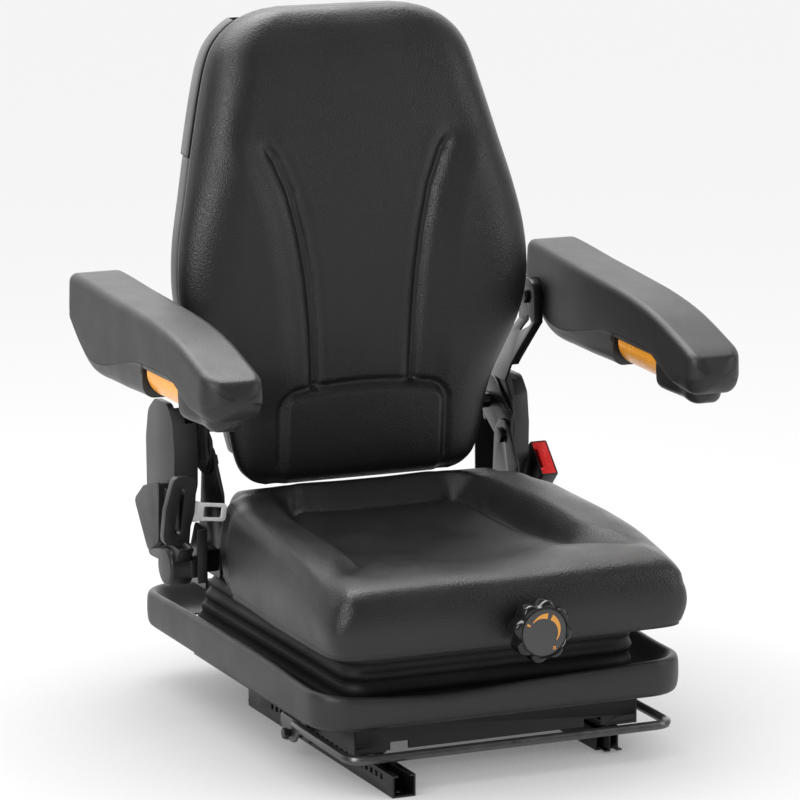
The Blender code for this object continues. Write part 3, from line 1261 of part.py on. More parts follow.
def build_brackets():
    for side, sign in SIDES:
        outline = rounded([
            (HINGE_Y - 0.006, HINGE_Z - 0.017, 0.016), (HINGE_Y + 0.018, HINGE_Z - 0.010, 0.016),
            (0.250, 0.332, 0.014), (0.270, 0.372, 0.014), (0.283, 0.430, 0.030), (0.284, 0.492, 0.022),
            (0.272, 0.509, 0.020), (0.250, 0.509, 0.020), (0.237, 0.497, 0.018), (0.236, 0.450, 0.016),
            (0.222, 0.404, 0.030), (0.186, 0.362, 0.020), (HINGE_Y - 0.018, HINGE_Z + 0.004, 0.014),
        ], 0.012, 2)
        pivot_hole = ring((HINGE_Y, HINGE_Z), HINGE_BOLT + PIN_PLAY, 16)
        arm_hole = ring((ARM_PIVOT_Y, ARM_PIVOT_Z), ARM_PIN + PIN_PLAY, 14)
        triangle = rounded([(0.257, 0.464), (0.242, 0.448), (0.262, 0.436)], 0.004, 2)
        window = rounded([(0.206, 0.362), (0.244, 0.368), (0.238, 0.350), (0.214, 0.346)], 0.006, 2)
        low = min(sign * BRACKET_X, sign * (BRACKET_X + BRACKET_SHEET))
        plate = outline_mesh("armrest_bracket_" + side, [outline, pivot_hole, arm_hole, triangle, window], "X",
                             low, low + BRACKET_SHEET)
        bracket = add_object("armrest_bracket_" + side, bend_outwards(plate, sign), BLACK_STEEL)
        # Turned edge along the front and round the lobe
        depth = 0.0125
        rim_low = min(sign * BRACKET_X, sign * (BRACKET_X + depth))
        rim = outline_mesh("rim", [outline, offset(outline, BRACKET_SHEET)], "X", rim_low, rim_low + depth)
        bm = bmesh.new()
        bm.from_mesh(rim)
        geometry = bm.verts[:] + bm.edges[:] + bm.faces[:]
        cut_line = bmesh.ops.bisect_plane(bm, geom=geometry, dist=0.000001, plane_co=(0, 0, 0.402),
                                          plane_no=(0, 0, 1), clear_inner=True)
        edges = [item for item in cut_line["geom_cut"] if isinstance(item, bmesh.types.BMEdge)]
        bmesh.ops.edgenet_fill(bm, edges=edges)
        trimmed = mesh_from(bm, "rim")
        boolean(bracket, bend_outwards(trimmed, sign), "UNION")
        hang(bracket, recline)


# Armrests: foam pad over a moulded lower shell, tilt roller under it, pivot bolt
ARM_TOP_LINE = ((-0.195, 0.482), (-0.186, 0.496), (-0.144, 0.511), (-0.076, 0.529), (-0.005, 0.539),
                (0.080, 0.544), (0.168, 0.548), (0.286, 0.554), (0.306, 0.550))
ARM_PART_LINE = ((-0.195, 0.452), (-0.174, 0.446), (-0.140, 0.448), (-0.115, 0.460), (-0.071, 0.480),
                 (-0.021, 0.483), (0.056, 0.480), (0.106, 0.470), (0.195, 0.454), (0.245, 0.466),
                 (0.306, 0.510))
ARM_BOTTOM_LINE = ((-0.176, 0.434), (-0.150, 0.430), (-0.096, 0.434), (0.042, 0.438), (0.121, 0.436),
                   (0.210, 0.437), (0.240, 0.445), (0.270, 0.466), (0.295, 0.498))


def armrest_ring(bm, sign, y, low, high, inset, crown):
    """One section across the armrest: flat sides, rounded upper edges."""
    middle = (ARM_IN + ARM_OUT) / 2
    half = (ARM_OUT - ARM_IN) / 2 - inset
    height = high - low
    steps = [
        (-0.92, 0.00), (-1.0, 0.16), (-1.0, 0.78), (-0.95, 0.92), (-0.82, 0.99),
        (0.0, 1.0), (0.82, 0.99), (0.95, 0.92), (1.0, 0.78), (1.0, 0.16), (0.92, 0.00),
    ]
    verts = []
    for across, up in steps:
        x = sign * (middle + across * half)
        z = low + height * up
        if across == 0.0:
            z += crown
        verts.append(bm.verts.new((x, y, z)))
    return verts


def loft(bm, rings):
    count = len(rings[0])
    for first, second in zip(rings[:-1], rings[1:]):
        for index in range(count):
            after = (index + 1) % count
            bm.faces.new((first[index], first[after], second[after], second[index]))
    bm.faces.new(rings[0])
    bm.faces.new(list(reversed(rings[-1])))


def build_armrests():
    stations = [
        -0.195, -0.189, -0.172, -0.140, -0.110, -0.070, -0.021, 0.056, 0.106, 0.195, 0.245, 0.290, 0.306,
    ]
    for side, sign in SIDES:
        axis = arm_axes[side]
        bm = bmesh.new()
        rings = []
        for y in stations:
            low = blend_table(ARM_PART_LINE, y) + TOUCH
            high = max(blend_table(ARM_TOP_LINE, y), low + 0.006)
            ends = smooth_step(-0.172, -0.195, y) * 0.005 + smooth_step(0.288, 0.306, y) * 0.006
            rings.append(armrest_ring(bm, sign, y, low, high, ends, 0.0015))
        loft(bm, rings)
        pad = add_object("armrest_pad_" + side, mesh_from(bm, "armrest_pad_" + side), FOAM_SKIN)
        bm = bmesh.new()
        rings = []
        for y in [station for station in stations if station > -0.180]:
            high = blend_table(ARM_PART_LINE, y)
            low = min(blend_table(ARM_BOTTOM_LINE, y), high - 0.004)
            middle = (ARM_IN + ARM_OUT) / 2
            half = (ARM_OUT - ARM_IN) / 2 - 0.003 - smooth_step(-0.150, -0.176, y) * 0.012
            half -= smooth_step(0.280, 0.306, y) * 0.006
            waist = half - 0.007
            shoulder = high - (high - low) * 0.35
            section = [
                (-half, high), (-half, shoulder), (-waist, low + 0.004), (-waist + 0.006, low),
                (waist - 0.006, low), (waist, low + 0.004), (half, shoulder), (half, high),
            ]
            rings.append([bm.verts.new((sign * (middle + x), y, z)) for x, z in section])
        loft(bm, rings)
        shell = add_object("armrest_shell_" + side, mesh_from(bm, "armrest_shell_" + side), MOULDED)
        middle = (ARM_IN + ARM_OUT) / 2
        room_from = ROLLER_GRIP_TO - 0.0025
        room_to = ROLLER_GRIP_FROM + 0.0075
        slot = box_mesh("slot", (sign * middle - 0.050, room_from, 0.410),
                        (sign * middle + 0.050, room_to, ROLLER_GRIP_Z - 0.006))
        cut(shell, slot)
        for thing in (pad, shell):
            cut(thing, rod_mesh("roller_room", (sign * middle, room_from, ROLLER_GRIP_Z),
                                (sign * middle, room_to, ROLLER_GRIP_Z), ROLLER_GRIP_RADIUS + 0.0016, 20))
        # Pivot bore through the shell and the pad, from the bracket side
        bore_from = sign * (ARM_IN - 0.004)
        bore_to = sign * (ARM_IN + 0.046)
        for thing in (pad, shell):
            cut(thing, rod_mesh("pivot_bore", (bore_from, ARM_PIVOT_Y, ARM_PIVOT_Z),
                                (bore_to, ARM_PIVOT_Y, ARM_PIVOT_Z), ARM_PIN + PIN_PLAY, 14))
        tilt = Matrix.Rotation(math.radians(ARM_TILT[side]), 4, "X")
        about = Matrix.Translation((0.0, ARM_PIVOT_Y, ARM_PIVOT_Z))
        for thing in (pad, shell):
            thing.data.transform(about @ tilt @ about.inverted())
            hang(thing, axis)
        pin = rod_mesh("armrest_pin_" + side, (sign * (LOBE_X - 0.0005), ARM_PIVOT_Y, ARM_PIVOT_Z),
                       (sign * (ARM_IN + 0.044), ARM_PIVOT_Y, ARM_PIVOT_Z), ARM_PIN, 14)
        pin = add_object("armrest_pin_" + side, pin, GREY_STEEL)
        join(pin, rod_mesh("head", (sign * (LOBE_X - 0.0060), ARM_PIVOT_Y, ARM_PIVOT_Z),
                           (sign * (LOBE_X - TOUCH), ARM_PIVOT_Y, ARM_PIVOT_Z), 0.0095, 6))
        join(pin, rod_mesh("collar", (sign * (LOBE_X + BRACKET_SHEET + TOUCH), ARM_PIVOT_Y, ARM_PIVOT_Z),
                           (sign * (ARM_IN - TOUCH), ARM_PIVOT_Y, ARM_PIVOT_Z), 0.0105, 18))
        hang(pin, recline)
        roller = rod_mesh("tilt_roller_" + side, (sign * middle, ROLLER_GRIP_TO, ROLLER_GRIP_Z),
                          (sign * middle, ROLLER_GRIP_FROM, ROLLER_GRIP_Z), ROLLER_GRIP_RADIUS, 20)
        roller = add_object("tilt_roller_" + side, roller, ORANGE)
        rim = roller.modifiers.new("rim", "BEVEL")
        rim.width = 0.002
        rim.segments = 1
        rim.limit_method = "ANGLE"
        spindle = rod_mesh("spindle", (sign * middle, room_from + TOUCH, ROLLER_GRIP_Z),
                           (sign * middle, room_to - TOUCH, ROLLER_GRIP_Z), 0.005, 12)
        join(roller, spindle)
        roller.data.transform(about @ tilt @ about.inverted())
        hang(roller, roller_axes[side])


# Lap belt: retractor and its bracket on the occupant's right, buckle on the left
def build_belt():
    x = -BELT_X
    outline = rounded([
        (0.104, 0.172, 0.004), (0.158, 0.172, 0.004), (0.166, 0.200, 0.010), (0.140, 0.252, 0.010),
        (0.104, 0.252, 0.006),
    ], 0.006)
    bracket = add_object("belt_bracket", outline_mesh("belt_bracket", [outline], "X", x - SHEET, x), BLACK_STEEL)
    flange = box_mesh("flange", (x - 0.013, 0.104, 0.180), (x - 0.001, 0.107, 0.249))
    arm = box_mesh("arm", (x - 0.001, 0.166, 0.178), (-HINGE_X - PLATE - TOUCH, 0.169, 0.206))
    web = box_mesh("web", (x - SHEET, 0.145, 0.176), (x, 0.169, 0.208))
    pad = box_mesh("pad", (-HINGE_X - PLATE - TOUCH - SHEET, 0.166, 0.178),
                   (-HINGE_X - PLATE - TOUCH, 0.200, 0.206))
    join(bracket, flange, web, arm, pad)
    hang(bracket, suspension)
    # Retractor: a housing box that leans back, and the cover of its spool below
    inner = -RETRACTOR_X
    outer = -RETRACTOR_X - RETRACTOR_WIDTH
    housing = rounded([
        (0.158, 0.226, 0.006), (0.196, 0.206, 0.010), (0.244, 0.264, 0.008), (0.211, 0.288, 0.008),
        (0.154, 0.306, 0.008),
    ], 0.008)
    body = add_object("belt_retractor", outline_mesh("belt_retractor", [housing], "X", outer, inner), MOULDED)
    edge = body.modifiers.new("edge", "BEVEL")
    edge.width = 0.002
    edge.segments = 1
    edge.limit_method = "ANGLE"
    edge.angle_limit = math.radians(50.0)
    hang(body, suspension)
    spool_edge = [(0.0, 0.0), (0.022, 0.0), (0.025, 0.003), (0.025, 0.029), (0.022, 0.032), (0.0, 0.032)]
    spool = turned_mesh("belt_spool_cover", spool_edge, 20, (inner - 0.001, 0.146, 0.196), (-1, 0, 0))
    spool = add_object("belt_spool_cover", spool, MOULDED)
    tab_outline = rounded([
        (0.128, 0.200), (0.172, 0.196), (0.182, 0.2128), (0.168, 0.2202), (0.1545, 0.2255), (0.110, 0.224),
    ], 0.002)
    tab = outline_mesh("tab", [tab_outline], "X", inner - 0.026, inner - 0.006)
    link = box_mesh("link", (inner - 0.006, 0.120, 0.184), (-BELT_X - SHEET - TOUCH, 0.150, 0.206))
    join(spool, tab, link)
    hang(spool, suspension)
    # Webbing: from the retractor's mouth into the slot of the tongue's grip
    strap_x = inner - 0.028
    strap = box_mesh("belt_webbing", (strap_x - 0.0014, 0.1035, 0.250), (strap_x, 0.1538, 0.296))
    hang(add_object("belt_webbing", strap, WEBBING), suspension)
    # Tongue: moulded loop grip on a steel blade that points in over the seat
    centre_x = strap_x - 0.0007
    centre_z = 0.276
    tilt = math.radians(-7.0)

    def placed(points):
        turned = []
        for across_part, up in points:
            x_at = centre_x + across_part * math.cos(tilt) - up * math.sin(tilt)
            z_at = centre_z + across_part * math.sin(tilt) + up * math.cos(tilt)
            turned.append((x_at, z_at))
        return turned

    grip_outline = rounded([
        (-0.018, -0.044, 0.012), (0.012, -0.044, 0.014), (0.020, 0.0, 0.02), (0.018, 0.044, 0.010),
        (-0.012, 0.044, 0.012), (-0.019, 0.0, 0.02),
    ], 0.012, 3)
    slot = rounded([(-0.0040, -0.030), (0.0040, -0.030), (0.0040, 0.030), (-0.0040, 0.030)], 0.0035, 2)
    grip = outline_mesh("tongue_grip", [placed(grip_outline), placed(slot)], "Y", 0.1000, 0.1120)
    grip = add_object("tongue_grip", grip, MOULDED)
    soft = grip.modifiers.new("soft", "BEVEL")
    soft.width = 0.002
    soft.segments = 1
    soft.limit_method = "ANGLE"
    soft.angle_limit = math.radians(50.0)
    blade_outline = rounded([
        (0.0202, 0.014, 0.002), (0.032, 0.0115, 0.006), (0.065, 0.0115, 0.006), (0.065, -0.0115, 0.006),
        (0.032, -0.0115, 0.006), (0.0202, -0.014, 0.002),
    ], 0.005, 3)
    window = rounded([(0.034, 0.0068), (0.058, 0.0068), (0.058, -0.0068), (0.034, -0.0068)], 0.001, 1)
    blade = outline_mesh("tongue_blade", [placed(blade_outline), placed(window)], "Y", 0.1045, 0.1070)
    hang(add_object("tongue_blade", blade, GREY_STEEL), suspension)
    hang(grip, suspension)


def build_buckle():
    face_y, face_z = BUCKLE_FACE
    half = BUCKLE_WIDTH / 2
    inner = BUCKLE_X
    outer = BUCKLE_X + BUCKLE_THICK
    wall = 0.0022
    # Modelled upright with its face at z = 0, then turned back by 45 degrees and moved to its place
    lean = Matrix.Translation((0.0, face_y, face_z)) @ Matrix.Rotation(math.radians(45.0), 4, "X")

    def leaned(mesh):
        mesh.transform(lean)
        return mesh

    housing = box_mesh("buckle_housing", (inner, -half, -BUCKLE_LENGTH), (outer, half, 0.0), 0.003, 2)
    housing = add_object("buckle_housing", leaned(housing), MOULDED)
    mouth = box_mesh("mouth", (inner + wall, -half + wall, -0.016), (outer - wall, half - wall, 0.010))
    slot = box_mesh("slot", (inner + wall, -0.014, -0.050), (inner + 0.0072, 0.014, -0.010))
    cut(housing, leaned(mouth), leaned(slot))
    hang(housing, suspension)
    button = box_mesh("buckle_button", (inner + wall + TOUCH, -half + wall + TOUCH, -0.0110),
                      (outer - wall - TOUCH, half - wall - TOUCH, -0.0012))
    button = add_object("buckle_button", leaned(button), RED)
    notch = box_mesh("notch", (inner - 0.002, -0.0150, -0.020), (inner + 0.0074, 0.0150, 0.010))
    cut(button, leaned(notch))
    rib = box_mesh("rib", (inner + 0.0090, -0.0130, -0.0020), (inner + 0.0165, 0.0130, -0.0004))
    join(button, leaned(rib))
    hang(button, button_axis)
    stalk = box_mesh("stalk", (inner + 0.0090, -0.0110, -BUCKLE_LENGTH - 0.016),
                     (inner + 0.0120, 0.0110, -BUCKLE_LENGTH - TOUCH))
    stalk = add_object("buckle_stalk", leaned(stalk), BLACK_STEEL)
    drop_outline = [(0.2480, 0.2190), (0.2620, 0.2240), (0.2120, 0.1765), (0.1880, 0.1765)]
    drop = outline_mesh("drop", [drop_outline], "X", inner + 0.0091, inner + 0.0119)
    foot = box_mesh("foot", (HINGE_X + PLATE + TOUCH, 0.1885, 0.1760), (inner + 0.0110, 0.2115, 0.1790))
    tail = box_mesh("tail", (HINGE_X + PLATE + TOUCH, 0.1884, 0.1761),
                    (HINGE_X + PLATE + TOUCH + SHEET, 0.2114, 0.2000))
    join(stalk, drop, foot, tail)
    hang(stalk, suspension)


# Axes of the moving groups
front_roller_y = REAR_PIVOT_Y - math.sqrt(ARM_LENGTH ** 2 - (UPPER_PIVOT_Z - LOWER_PIVOT_Z) ** 2)
carriage = axis_empty("carriage_slide", (0.0, 0.0, 0.0))
release_axis = axis_empty("release_bar_axis", (0.0, BAR_PIVOT_Y, BAR_PIVOT_Z), carriage)
outer_axis = axis_empty("scissor_outer_axis", (0.0, REAR_PIVOT_Y, LOWER_PIVOT_Z), carriage)
suspension = axis_empty("suspension_travel", (0.0, 0.0, UPPER_PIVOT_Z), carriage)
inner_axis = axis_empty("scissor_inner_axis", (0.0, REAR_PIVOT_Y, UPPER_PIVOT_Z), suspension)
damper_axis = axis_empty("damper_axis", (DAMPER_X, *DAMPER_LOW), carriage)
rod_axis = axis_empty("damper_rod_slide", (DAMPER_X, *DAMPER_HIGH), damper_axis)
knob_axis = axis_empty("knob_axis", (KNOB_X, KNOB_FACE, KNOB_Z), suspension)
yoke_axis = axis_empty("yoke_slide", (KNOB_X, YOKE_Y, KNOB_Z), suspension)
lever_axis = axis_empty("recline_lever_axis", (HINGE_X, LEVER_Y + 0.012, LEVER_Z), suspension)
button_axis = axis_empty("buckle_button_slide", (BUCKLE_X, *BUCKLE_FACE), suspension)
recline = axis_empty("backrest_axis", (0.0, HINGE_Y, HINGE_Z), suspension)
arm_axes = {}
roller_axes = {}
for side, sign in SIDES:
    arm_axes[side] = axis_empty("armrest_axis_" + side, (sign * ARM_IN, ARM_PIVOT_Y, ARM_PIVOT_Z), recline)
    middle_x = sign * (ARM_IN + ARM_OUT) / 2
    lever = Vector((0.0, ROLLER_GRIP_TO - ARM_PIVOT_Y, ROLLER_GRIP_Z - ARM_PIVOT_Z))
    lever.rotate(Matrix.Rotation(math.radians(ARM_TILT[side]), 3, "X"))
    place = (middle_x, ARM_PIVOT_Y + lever.y, ARM_PIVOT_Z + lever.z)
    roller_axes[side] = axis_empty("tilt_roller_axis_" + side, place, arm_axes[side])

build_rails()
build_base_frame()
build_skirt()
build_bellows()
build_release_bar()
build_scissor()
build_upper_frame()
build_pan()
build_cushion()
build_adjuster()
build_damper()
build_hinge_plates()
build_recline_lever()
build_backrest()
build_side_covers()
build_brackets()
build_armrests()
build_belt()
build_buckle()

# Stand the whole seat with its middle over the origin
for thing in parts.objects:
    if thing.parent is None:
        thing.location.y -= CENTRE_Y

for thing in parts.objects:
    if thing.type == "MESH":
        thing.data.shade_smooth()
        thing.data.set_sharp_from_angle(angle=math.radians(35.0))
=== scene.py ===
import math

import bmesh
import bpy
from mathutils import Matrix, Vector


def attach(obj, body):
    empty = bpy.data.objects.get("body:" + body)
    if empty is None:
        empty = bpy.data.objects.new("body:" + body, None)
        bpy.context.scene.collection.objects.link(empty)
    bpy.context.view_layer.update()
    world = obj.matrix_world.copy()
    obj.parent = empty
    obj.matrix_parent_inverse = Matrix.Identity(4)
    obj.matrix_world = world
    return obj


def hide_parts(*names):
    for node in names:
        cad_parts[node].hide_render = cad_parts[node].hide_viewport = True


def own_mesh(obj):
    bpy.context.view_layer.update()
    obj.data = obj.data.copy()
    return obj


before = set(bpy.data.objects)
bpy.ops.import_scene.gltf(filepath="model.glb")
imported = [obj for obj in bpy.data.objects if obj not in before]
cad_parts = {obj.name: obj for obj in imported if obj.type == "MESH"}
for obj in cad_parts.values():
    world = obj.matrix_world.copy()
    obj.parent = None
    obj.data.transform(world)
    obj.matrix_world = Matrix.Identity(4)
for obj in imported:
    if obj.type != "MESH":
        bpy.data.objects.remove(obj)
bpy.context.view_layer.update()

# Camera
# The photograph looks down a little on the seat from its front and from the occupant's right (-X). The lens
# is long, so the seat's lines stay nearly parallel.
scene = bpy.context.scene
camera = bpy.data.objects.new("camera", bpy.data.cameras.new("camera"))
scene.collection.objects.link(camera)
camera.data.lens = 202.5
camera.data.sensor_width = 36.0
camera.data.clip_end = 60.0
azimuth = math.radians(-23.797)
elevation = math.radians(11.410)
level = math.cos(elevation)
back = Vector((math.sin(azimuth) * level, -math.cos(azimuth) * level, math.sin(elevation)))
camera.location = (-2.2474, -5.0499, 1.5266)
camera.rotation_euler = (-back).to_track_quat("-Z", "Y").to_euler()
scene.camera = camera
scene.view_settings.view_transform = "Standard"

# Studio
# A white floor under a white surround, one large soft light overhead and two beside the camera. The surround
# lights the seat most from behind, as a lit backdrop does. The floor takes the seat's shadow from the lamps,
# and its white glow is also dimmed near the seat by ambient occlusion, a painted shadow.
def studio_light(name, place, target, width, height, watts):
    lamp = bpy.data.lights.new(name, "AREA")
    lamp.shape = "RECTANGLE"
    lamp.size = width
    lamp.size_y = height
    lamp.energy = watts
    holder = bpy.data.objects.new(name, lamp)
    scene.collection.objects.link(holder)
    holder.location = place
    holder.rotation_euler = (Vector(target) - Vector(place)).to_track_quat("-Z", "Y").to_euler()
    holder.visible_camera = False


studio_light("overhead_softbox", (-0.2, 0.7, 2.3), (0.0, 0.0, 0.3), 2.2, 1.4, 70.0)
studio_light("left_softbox", (-2.3, -1.3, 1.7), (0.0, 0.0, 0.4), 1.0, 1.6, 44.0)
studio_light("right_softbox", (2.2, -1.5, 1.3), (0.0, 0.0, 0.4), 0.8, 1.6, 15.0)

world = bpy.data.worlds.new("white_surround")
scene.world = world
world.use_nodes = True
tree = world.node_tree
tree.nodes.clear()
rays = tree.nodes.new("ShaderNodeLightPath")
seen = tree.nodes.new("ShaderNodeMath")
seen.operation = "MAXIMUM"
tree.links.new(rays.outputs["Is Camera Ray"], seen.inputs[0])
tree.links.new(rays.outputs["Is Transmission Ray"], seen.inputs[1])
dim = tree.nodes.new("ShaderNodeBackground")
dim.inputs["Color"].default_value = (1.0, 1.0, 1.0, 1.0)
around = tree.nodes.new("ShaderNodeTexCoord")
toward = tree.nodes.new("ShaderNodeVectorMath")
toward.operation = "DOT_PRODUCT"
toward.inputs[1].default_value = (0.28, 0.93, 0.24)
backdrop = tree.nodes.new("ShaderNodeMapRange")
backdrop.interpolation_type = "SMOOTHSTEP"
backdrop.inputs["From Min"].default_value = 0.35
backdrop.inputs["From Max"].default_value = 0.95
backdrop.inputs["To Min"].default_value = 0.22
backdrop.inputs["To Max"].default_value = 1.9
tree.links.new(around.outputs["Generated"], toward.inputs[0])
tree.links.new(toward.outputs["Value"], backdrop.inputs["Value"])
tree.links.new(backdrop.outputs["Result"], dim.inputs["Strength"])
white = tree.nodes.new("ShaderNodeBackground")
white.inputs["Color"].default_value = (1.0, 1.0, 1.0, 1.0)
white.inputs["Strength"].default_value = 1.0
choice = tree.nodes.new("ShaderNodeMixShader")
surround = tree.nodes.new("ShaderNodeOutputWorld")
tree.links.new(seen.outputs[0], choice.inputs[0])
tree.links.new(dim.outputs[0], choice.inputs[1])
tree.links.new(white.outputs[0], choice.inputs[2])
tree.links.new(choice.outputs[0], surround.inputs["Surface"])



def mesh_from(shape, name):
    """Turns a finished bmesh into a mesh and frees it."""
    mesh = bpy.data.meshes.new(name)
    shape.to_mesh(mesh)
    shape.free()
    return mesh


floor_reach = 14.0
floor_drop = 0.0005
shape = bmesh.new()
bmesh.ops.create_grid(shape, x_segments=1, y_segments=1, size=floor_reach)
floor_mesh = mesh_from(shape, "studio_floor")
floor_mesh.transform(Matrix.Translation((0.0, 0.0, -floor_drop)))
studio_floor = bpy.data.objects.new("studio_floor", floor_mesh)
scene.collection.objects.link(studio_floor)
floor_paint = bpy.data.materials.new("studio_floor_paint")
floor_paint.use_nodes = True
tree = floor_paint.node_tree
tree.nodes.clear()
rays = tree.nodes.new("ShaderNodeLightPath")
seen = tree.nodes.new("ShaderNodeMath")
seen.operation = "MAXIMUM"
tree.links.new(rays.outputs["Is Camera Ray"], seen.inputs[0])
tree.links.new(rays.outputs["Is Glossy Ray"], seen.inputs[1])
paint = tree.nodes.new("ShaderNodeBsdfDiffuse")
paint.inputs["Color"].default_value = (0.80, 0.80, 0.80, 1.0)
shaded = tree.nodes.new("ShaderNodeBsdfDiffuse")
shaded.inputs["Color"].default_value = (0.12, 0.12, 0.12, 1.0)
glow = tree.nodes.new("ShaderNodeEmission")
# Ambient occlusion dims the floor's white glow near the seat: a painted shadow on top of the shadow the
# lamps cast
painted_shadow_ao = tree.nodes.new("ShaderNodeAmbientOcclusion")
painted_shadow_ao.samples = 8
painted_shadow_ao.inputs["Distance"].default_value = 0.42
painted_shadow_glow = tree.nodes.new("ShaderNodeMapRange")
painted_shadow_glow.inputs["To Min"].default_value = 0.14
painted_shadow_glow.inputs["To Max"].default_value = 0.84
tree.links.new(painted_shadow_ao.outputs["AO"], painted_shadow_glow.inputs["Value"])
tree.links.new(painted_shadow_glow.outputs["Result"], glow.inputs["Strength"])
lifted = tree.nodes.new("ShaderNodeAddShader")
choice = tree.nodes.new("ShaderNodeMixShader")
surface = tree.nodes.new("ShaderNodeOutputMaterial")
tree.links.new(shaded.outputs[0], lifted.inputs[0])
tree.links.new(glow.outputs[0], lifted.inputs[1])
tree.links.new(seen.outputs[0], choice.inputs[0])
tree.links.new(paint.outputs[0], choice.inputs[1])
tree.links.new(lifted.outputs[0], choice.inputs[2])
tree.links.new(choice.outputs[0], surface.inputs["Surface"])
floor_mesh.materials.append(floor_paint)


# Slide rails
# A toothed channel on each side is bolted to the cab floor, and a narrower hat-section rail slides in it.
# Both are pressed from sheet steel and painted satin black.
def make_finish(name, colour, roughness, metallic=0.0):
    material = bpy.data.materials.new(name)
    material.use_nodes = True
    shader = material.node_tree.nodes["Principled BSDF"]
    shader.inputs["Base Color"].default_value = (*colour, 1.0)
    shader.inputs["Roughness"].default_value = roughness
    shader.inputs["Metallic"].default_value = metallic
    return material


def vary_finish(material, cloud_size, colour_change, rough_change):
    """Lets the colour and the roughness drift a little over the surface, in soft clouds."""
    tree = material.node_tree
    shader = tree.nodes["Principled BSDF"]
    colour = shader.inputs["Base Color"].default_value[:3]
    roughness = shader.inputs["Roughness"].default_value
    place = tree.nodes.new("ShaderNodeTexCoord")
    cloud = tree.nodes.new("ShaderNodeTexNoise")
    cloud.inputs["Scale"].default_value = 1.0 / cloud_size
    cloud.inputs["Detail"].default_value = 4.0
    tree.links.new(place.outputs["Object"], cloud.inputs["Vector"])
    tint = tree.nodes.new("ShaderNodeMix")
    tint.data_type = "RGBA"
    tint.inputs["A"].default_value = (*[part * (1.0 - colour_change) for part in colour], 1.0)
    tint.inputs["B"].default_value = (*[min(1.0, part * (1.0 + colour_change)) for part in colour], 1.0)
    tree.links.new(cloud.outputs["Fac"], tint.inputs["Factor"])
    tree.links.new(tint.outputs["Result"], shader.inputs["Base Color"])
    gloss = tree.nodes.new("ShaderNodeMapRange")
    gloss.inputs["From Min"].default_value = 0.3
    gloss.inputs["From Max"].default_value = 0.7
    gloss.inputs["To Min"].default_value = roughness - rough_change
    gloss.inputs["To Max"].default_value = roughness + rough_change
    tree.links.new(cloud.outputs["Fac"], gloss.inputs["Value"])
    tree.links.new(gloss.outputs["Result"], shader.inputs["Roughness"])
    return place


def add_bump(material, height, distance, strength):
    tree = material.node_tree
    bump = tree.nodes.new("ShaderNodeBump")
    bump.inputs["Distance"].default_value = distance
    bump.inputs["Strength"].default_value = strength
    tree.links.new(height, bump.inputs["Height"])
    shader = tree.nodes["Principled BSDF"]
    if shader.inputs["Normal"].links:
        tree.links.new(shader.inputs["Normal"].links[0].from_socket, bump.inputs["Normal"])
    tree.links.new(bump.outputs["Normal"], shader.inputs["Normal"])


def add_speckle(material, place, size, distance, strength):
    """Fine even roughness, as in paint or in the skin of a moulding."""
    tree = material.node_tree
    speckle = tree.nodes.new("ShaderNodeTexNoise")
    speckle.inputs["Scale"].default_value = 1.0 / size
    speckle.inputs["Detail"].default_value = 2.0
    tree.links.new(place.outputs["Object"], speckle.inputs["Vector"])
    add_bump(material, speckle.outputs["Fac"], distance, strength)


def speckled_finish(name, colour, roughness, clouds, speckle, metallic=0.0):
    """A finish with clouds (size, colour change, roughness change) and speckle (size, depth, strength)."""
    material = make_finish(name, colour, roughness, metallic)
    place = vary_finish(material, *clouds)
    add_speckle(material, place, *speckle)
    return material


def softened(node, body, material, width, sharper_than=28.0):
    """A finished copy of a CAD piece with its hard edges rounded, riding where the piece rides."""
    shape = bmesh.new()
    shape.from_mesh(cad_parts[node].data)
    bmesh.ops.remove_doubles(shape, verts=shape.verts, dist=0.000004)
    bmesh.ops.dissolve_limit(shape, angle_limit=math.radians(0.8), verts=shape.verts, edges=shape.edges)
    limit = math.radians(sharper_than)
    hard = [edge for edge in shape.edges if len(edge.link_faces) == 2 and edge.calc_face_angle() > limit]
    bmesh.ops.bevel(
        shape, geom=hard, offset=width, offset_type="OFFSET", segments=2, affect="EDGES", profile=0.5,
        material=-1, clamp_overlap=True,
    )
    mesh = mesh_from(shape, node + "_finished")
    mesh.shade_smooth()
    mesh.set_sharp_from_angle(angle=math.radians(38.0))
    mesh.materials.clear()
    mesh.materials.append(material)
    piece = bpy.data.objects.new(node + "_finished", mesh)
    scene.collection.objects.link(piece)
    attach(piece, body)
    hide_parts(node)
    return piece


def repaint(node, material):
    """A CAD piece kept as it is, with its finish in place of the plain one."""
    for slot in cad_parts[node].material_slots:
        slot.material = material


satin_black_paint = speckled_finish(
    "satin_black_paint", (0.006, 0.006, 0.0063), 0.36, (0.05, 0.25, 0.06), (0.0016, 0.0003, 0.12),
)
for side in ("left", "right"):
    softened("lower_rail_" + side, "floor_rails", satin_black_paint, 0.0004)
    softened("upper_rail_" + side, "carriage", satin_black_paint, 0.0004)

# Base frame and release bar
# The base frame is folded and welded sheet steel. The slide release bar is a bent 12 mm rod that pivots on
# a hex bolt on each side.
softened("base_frame", "carriage", satin_black_paint, 0.0005)
bar_paint = speckled_finish(
    "worn_bar_paint", (0.11, 0.11, 0.112), 0.34, (0.02, 0.3, 0.08), (0.0012, 0.0003, 0.15), 0.75,
)
softened("slide_release_bar", "release_bar", bar_paint, 0.0005, 40.0)

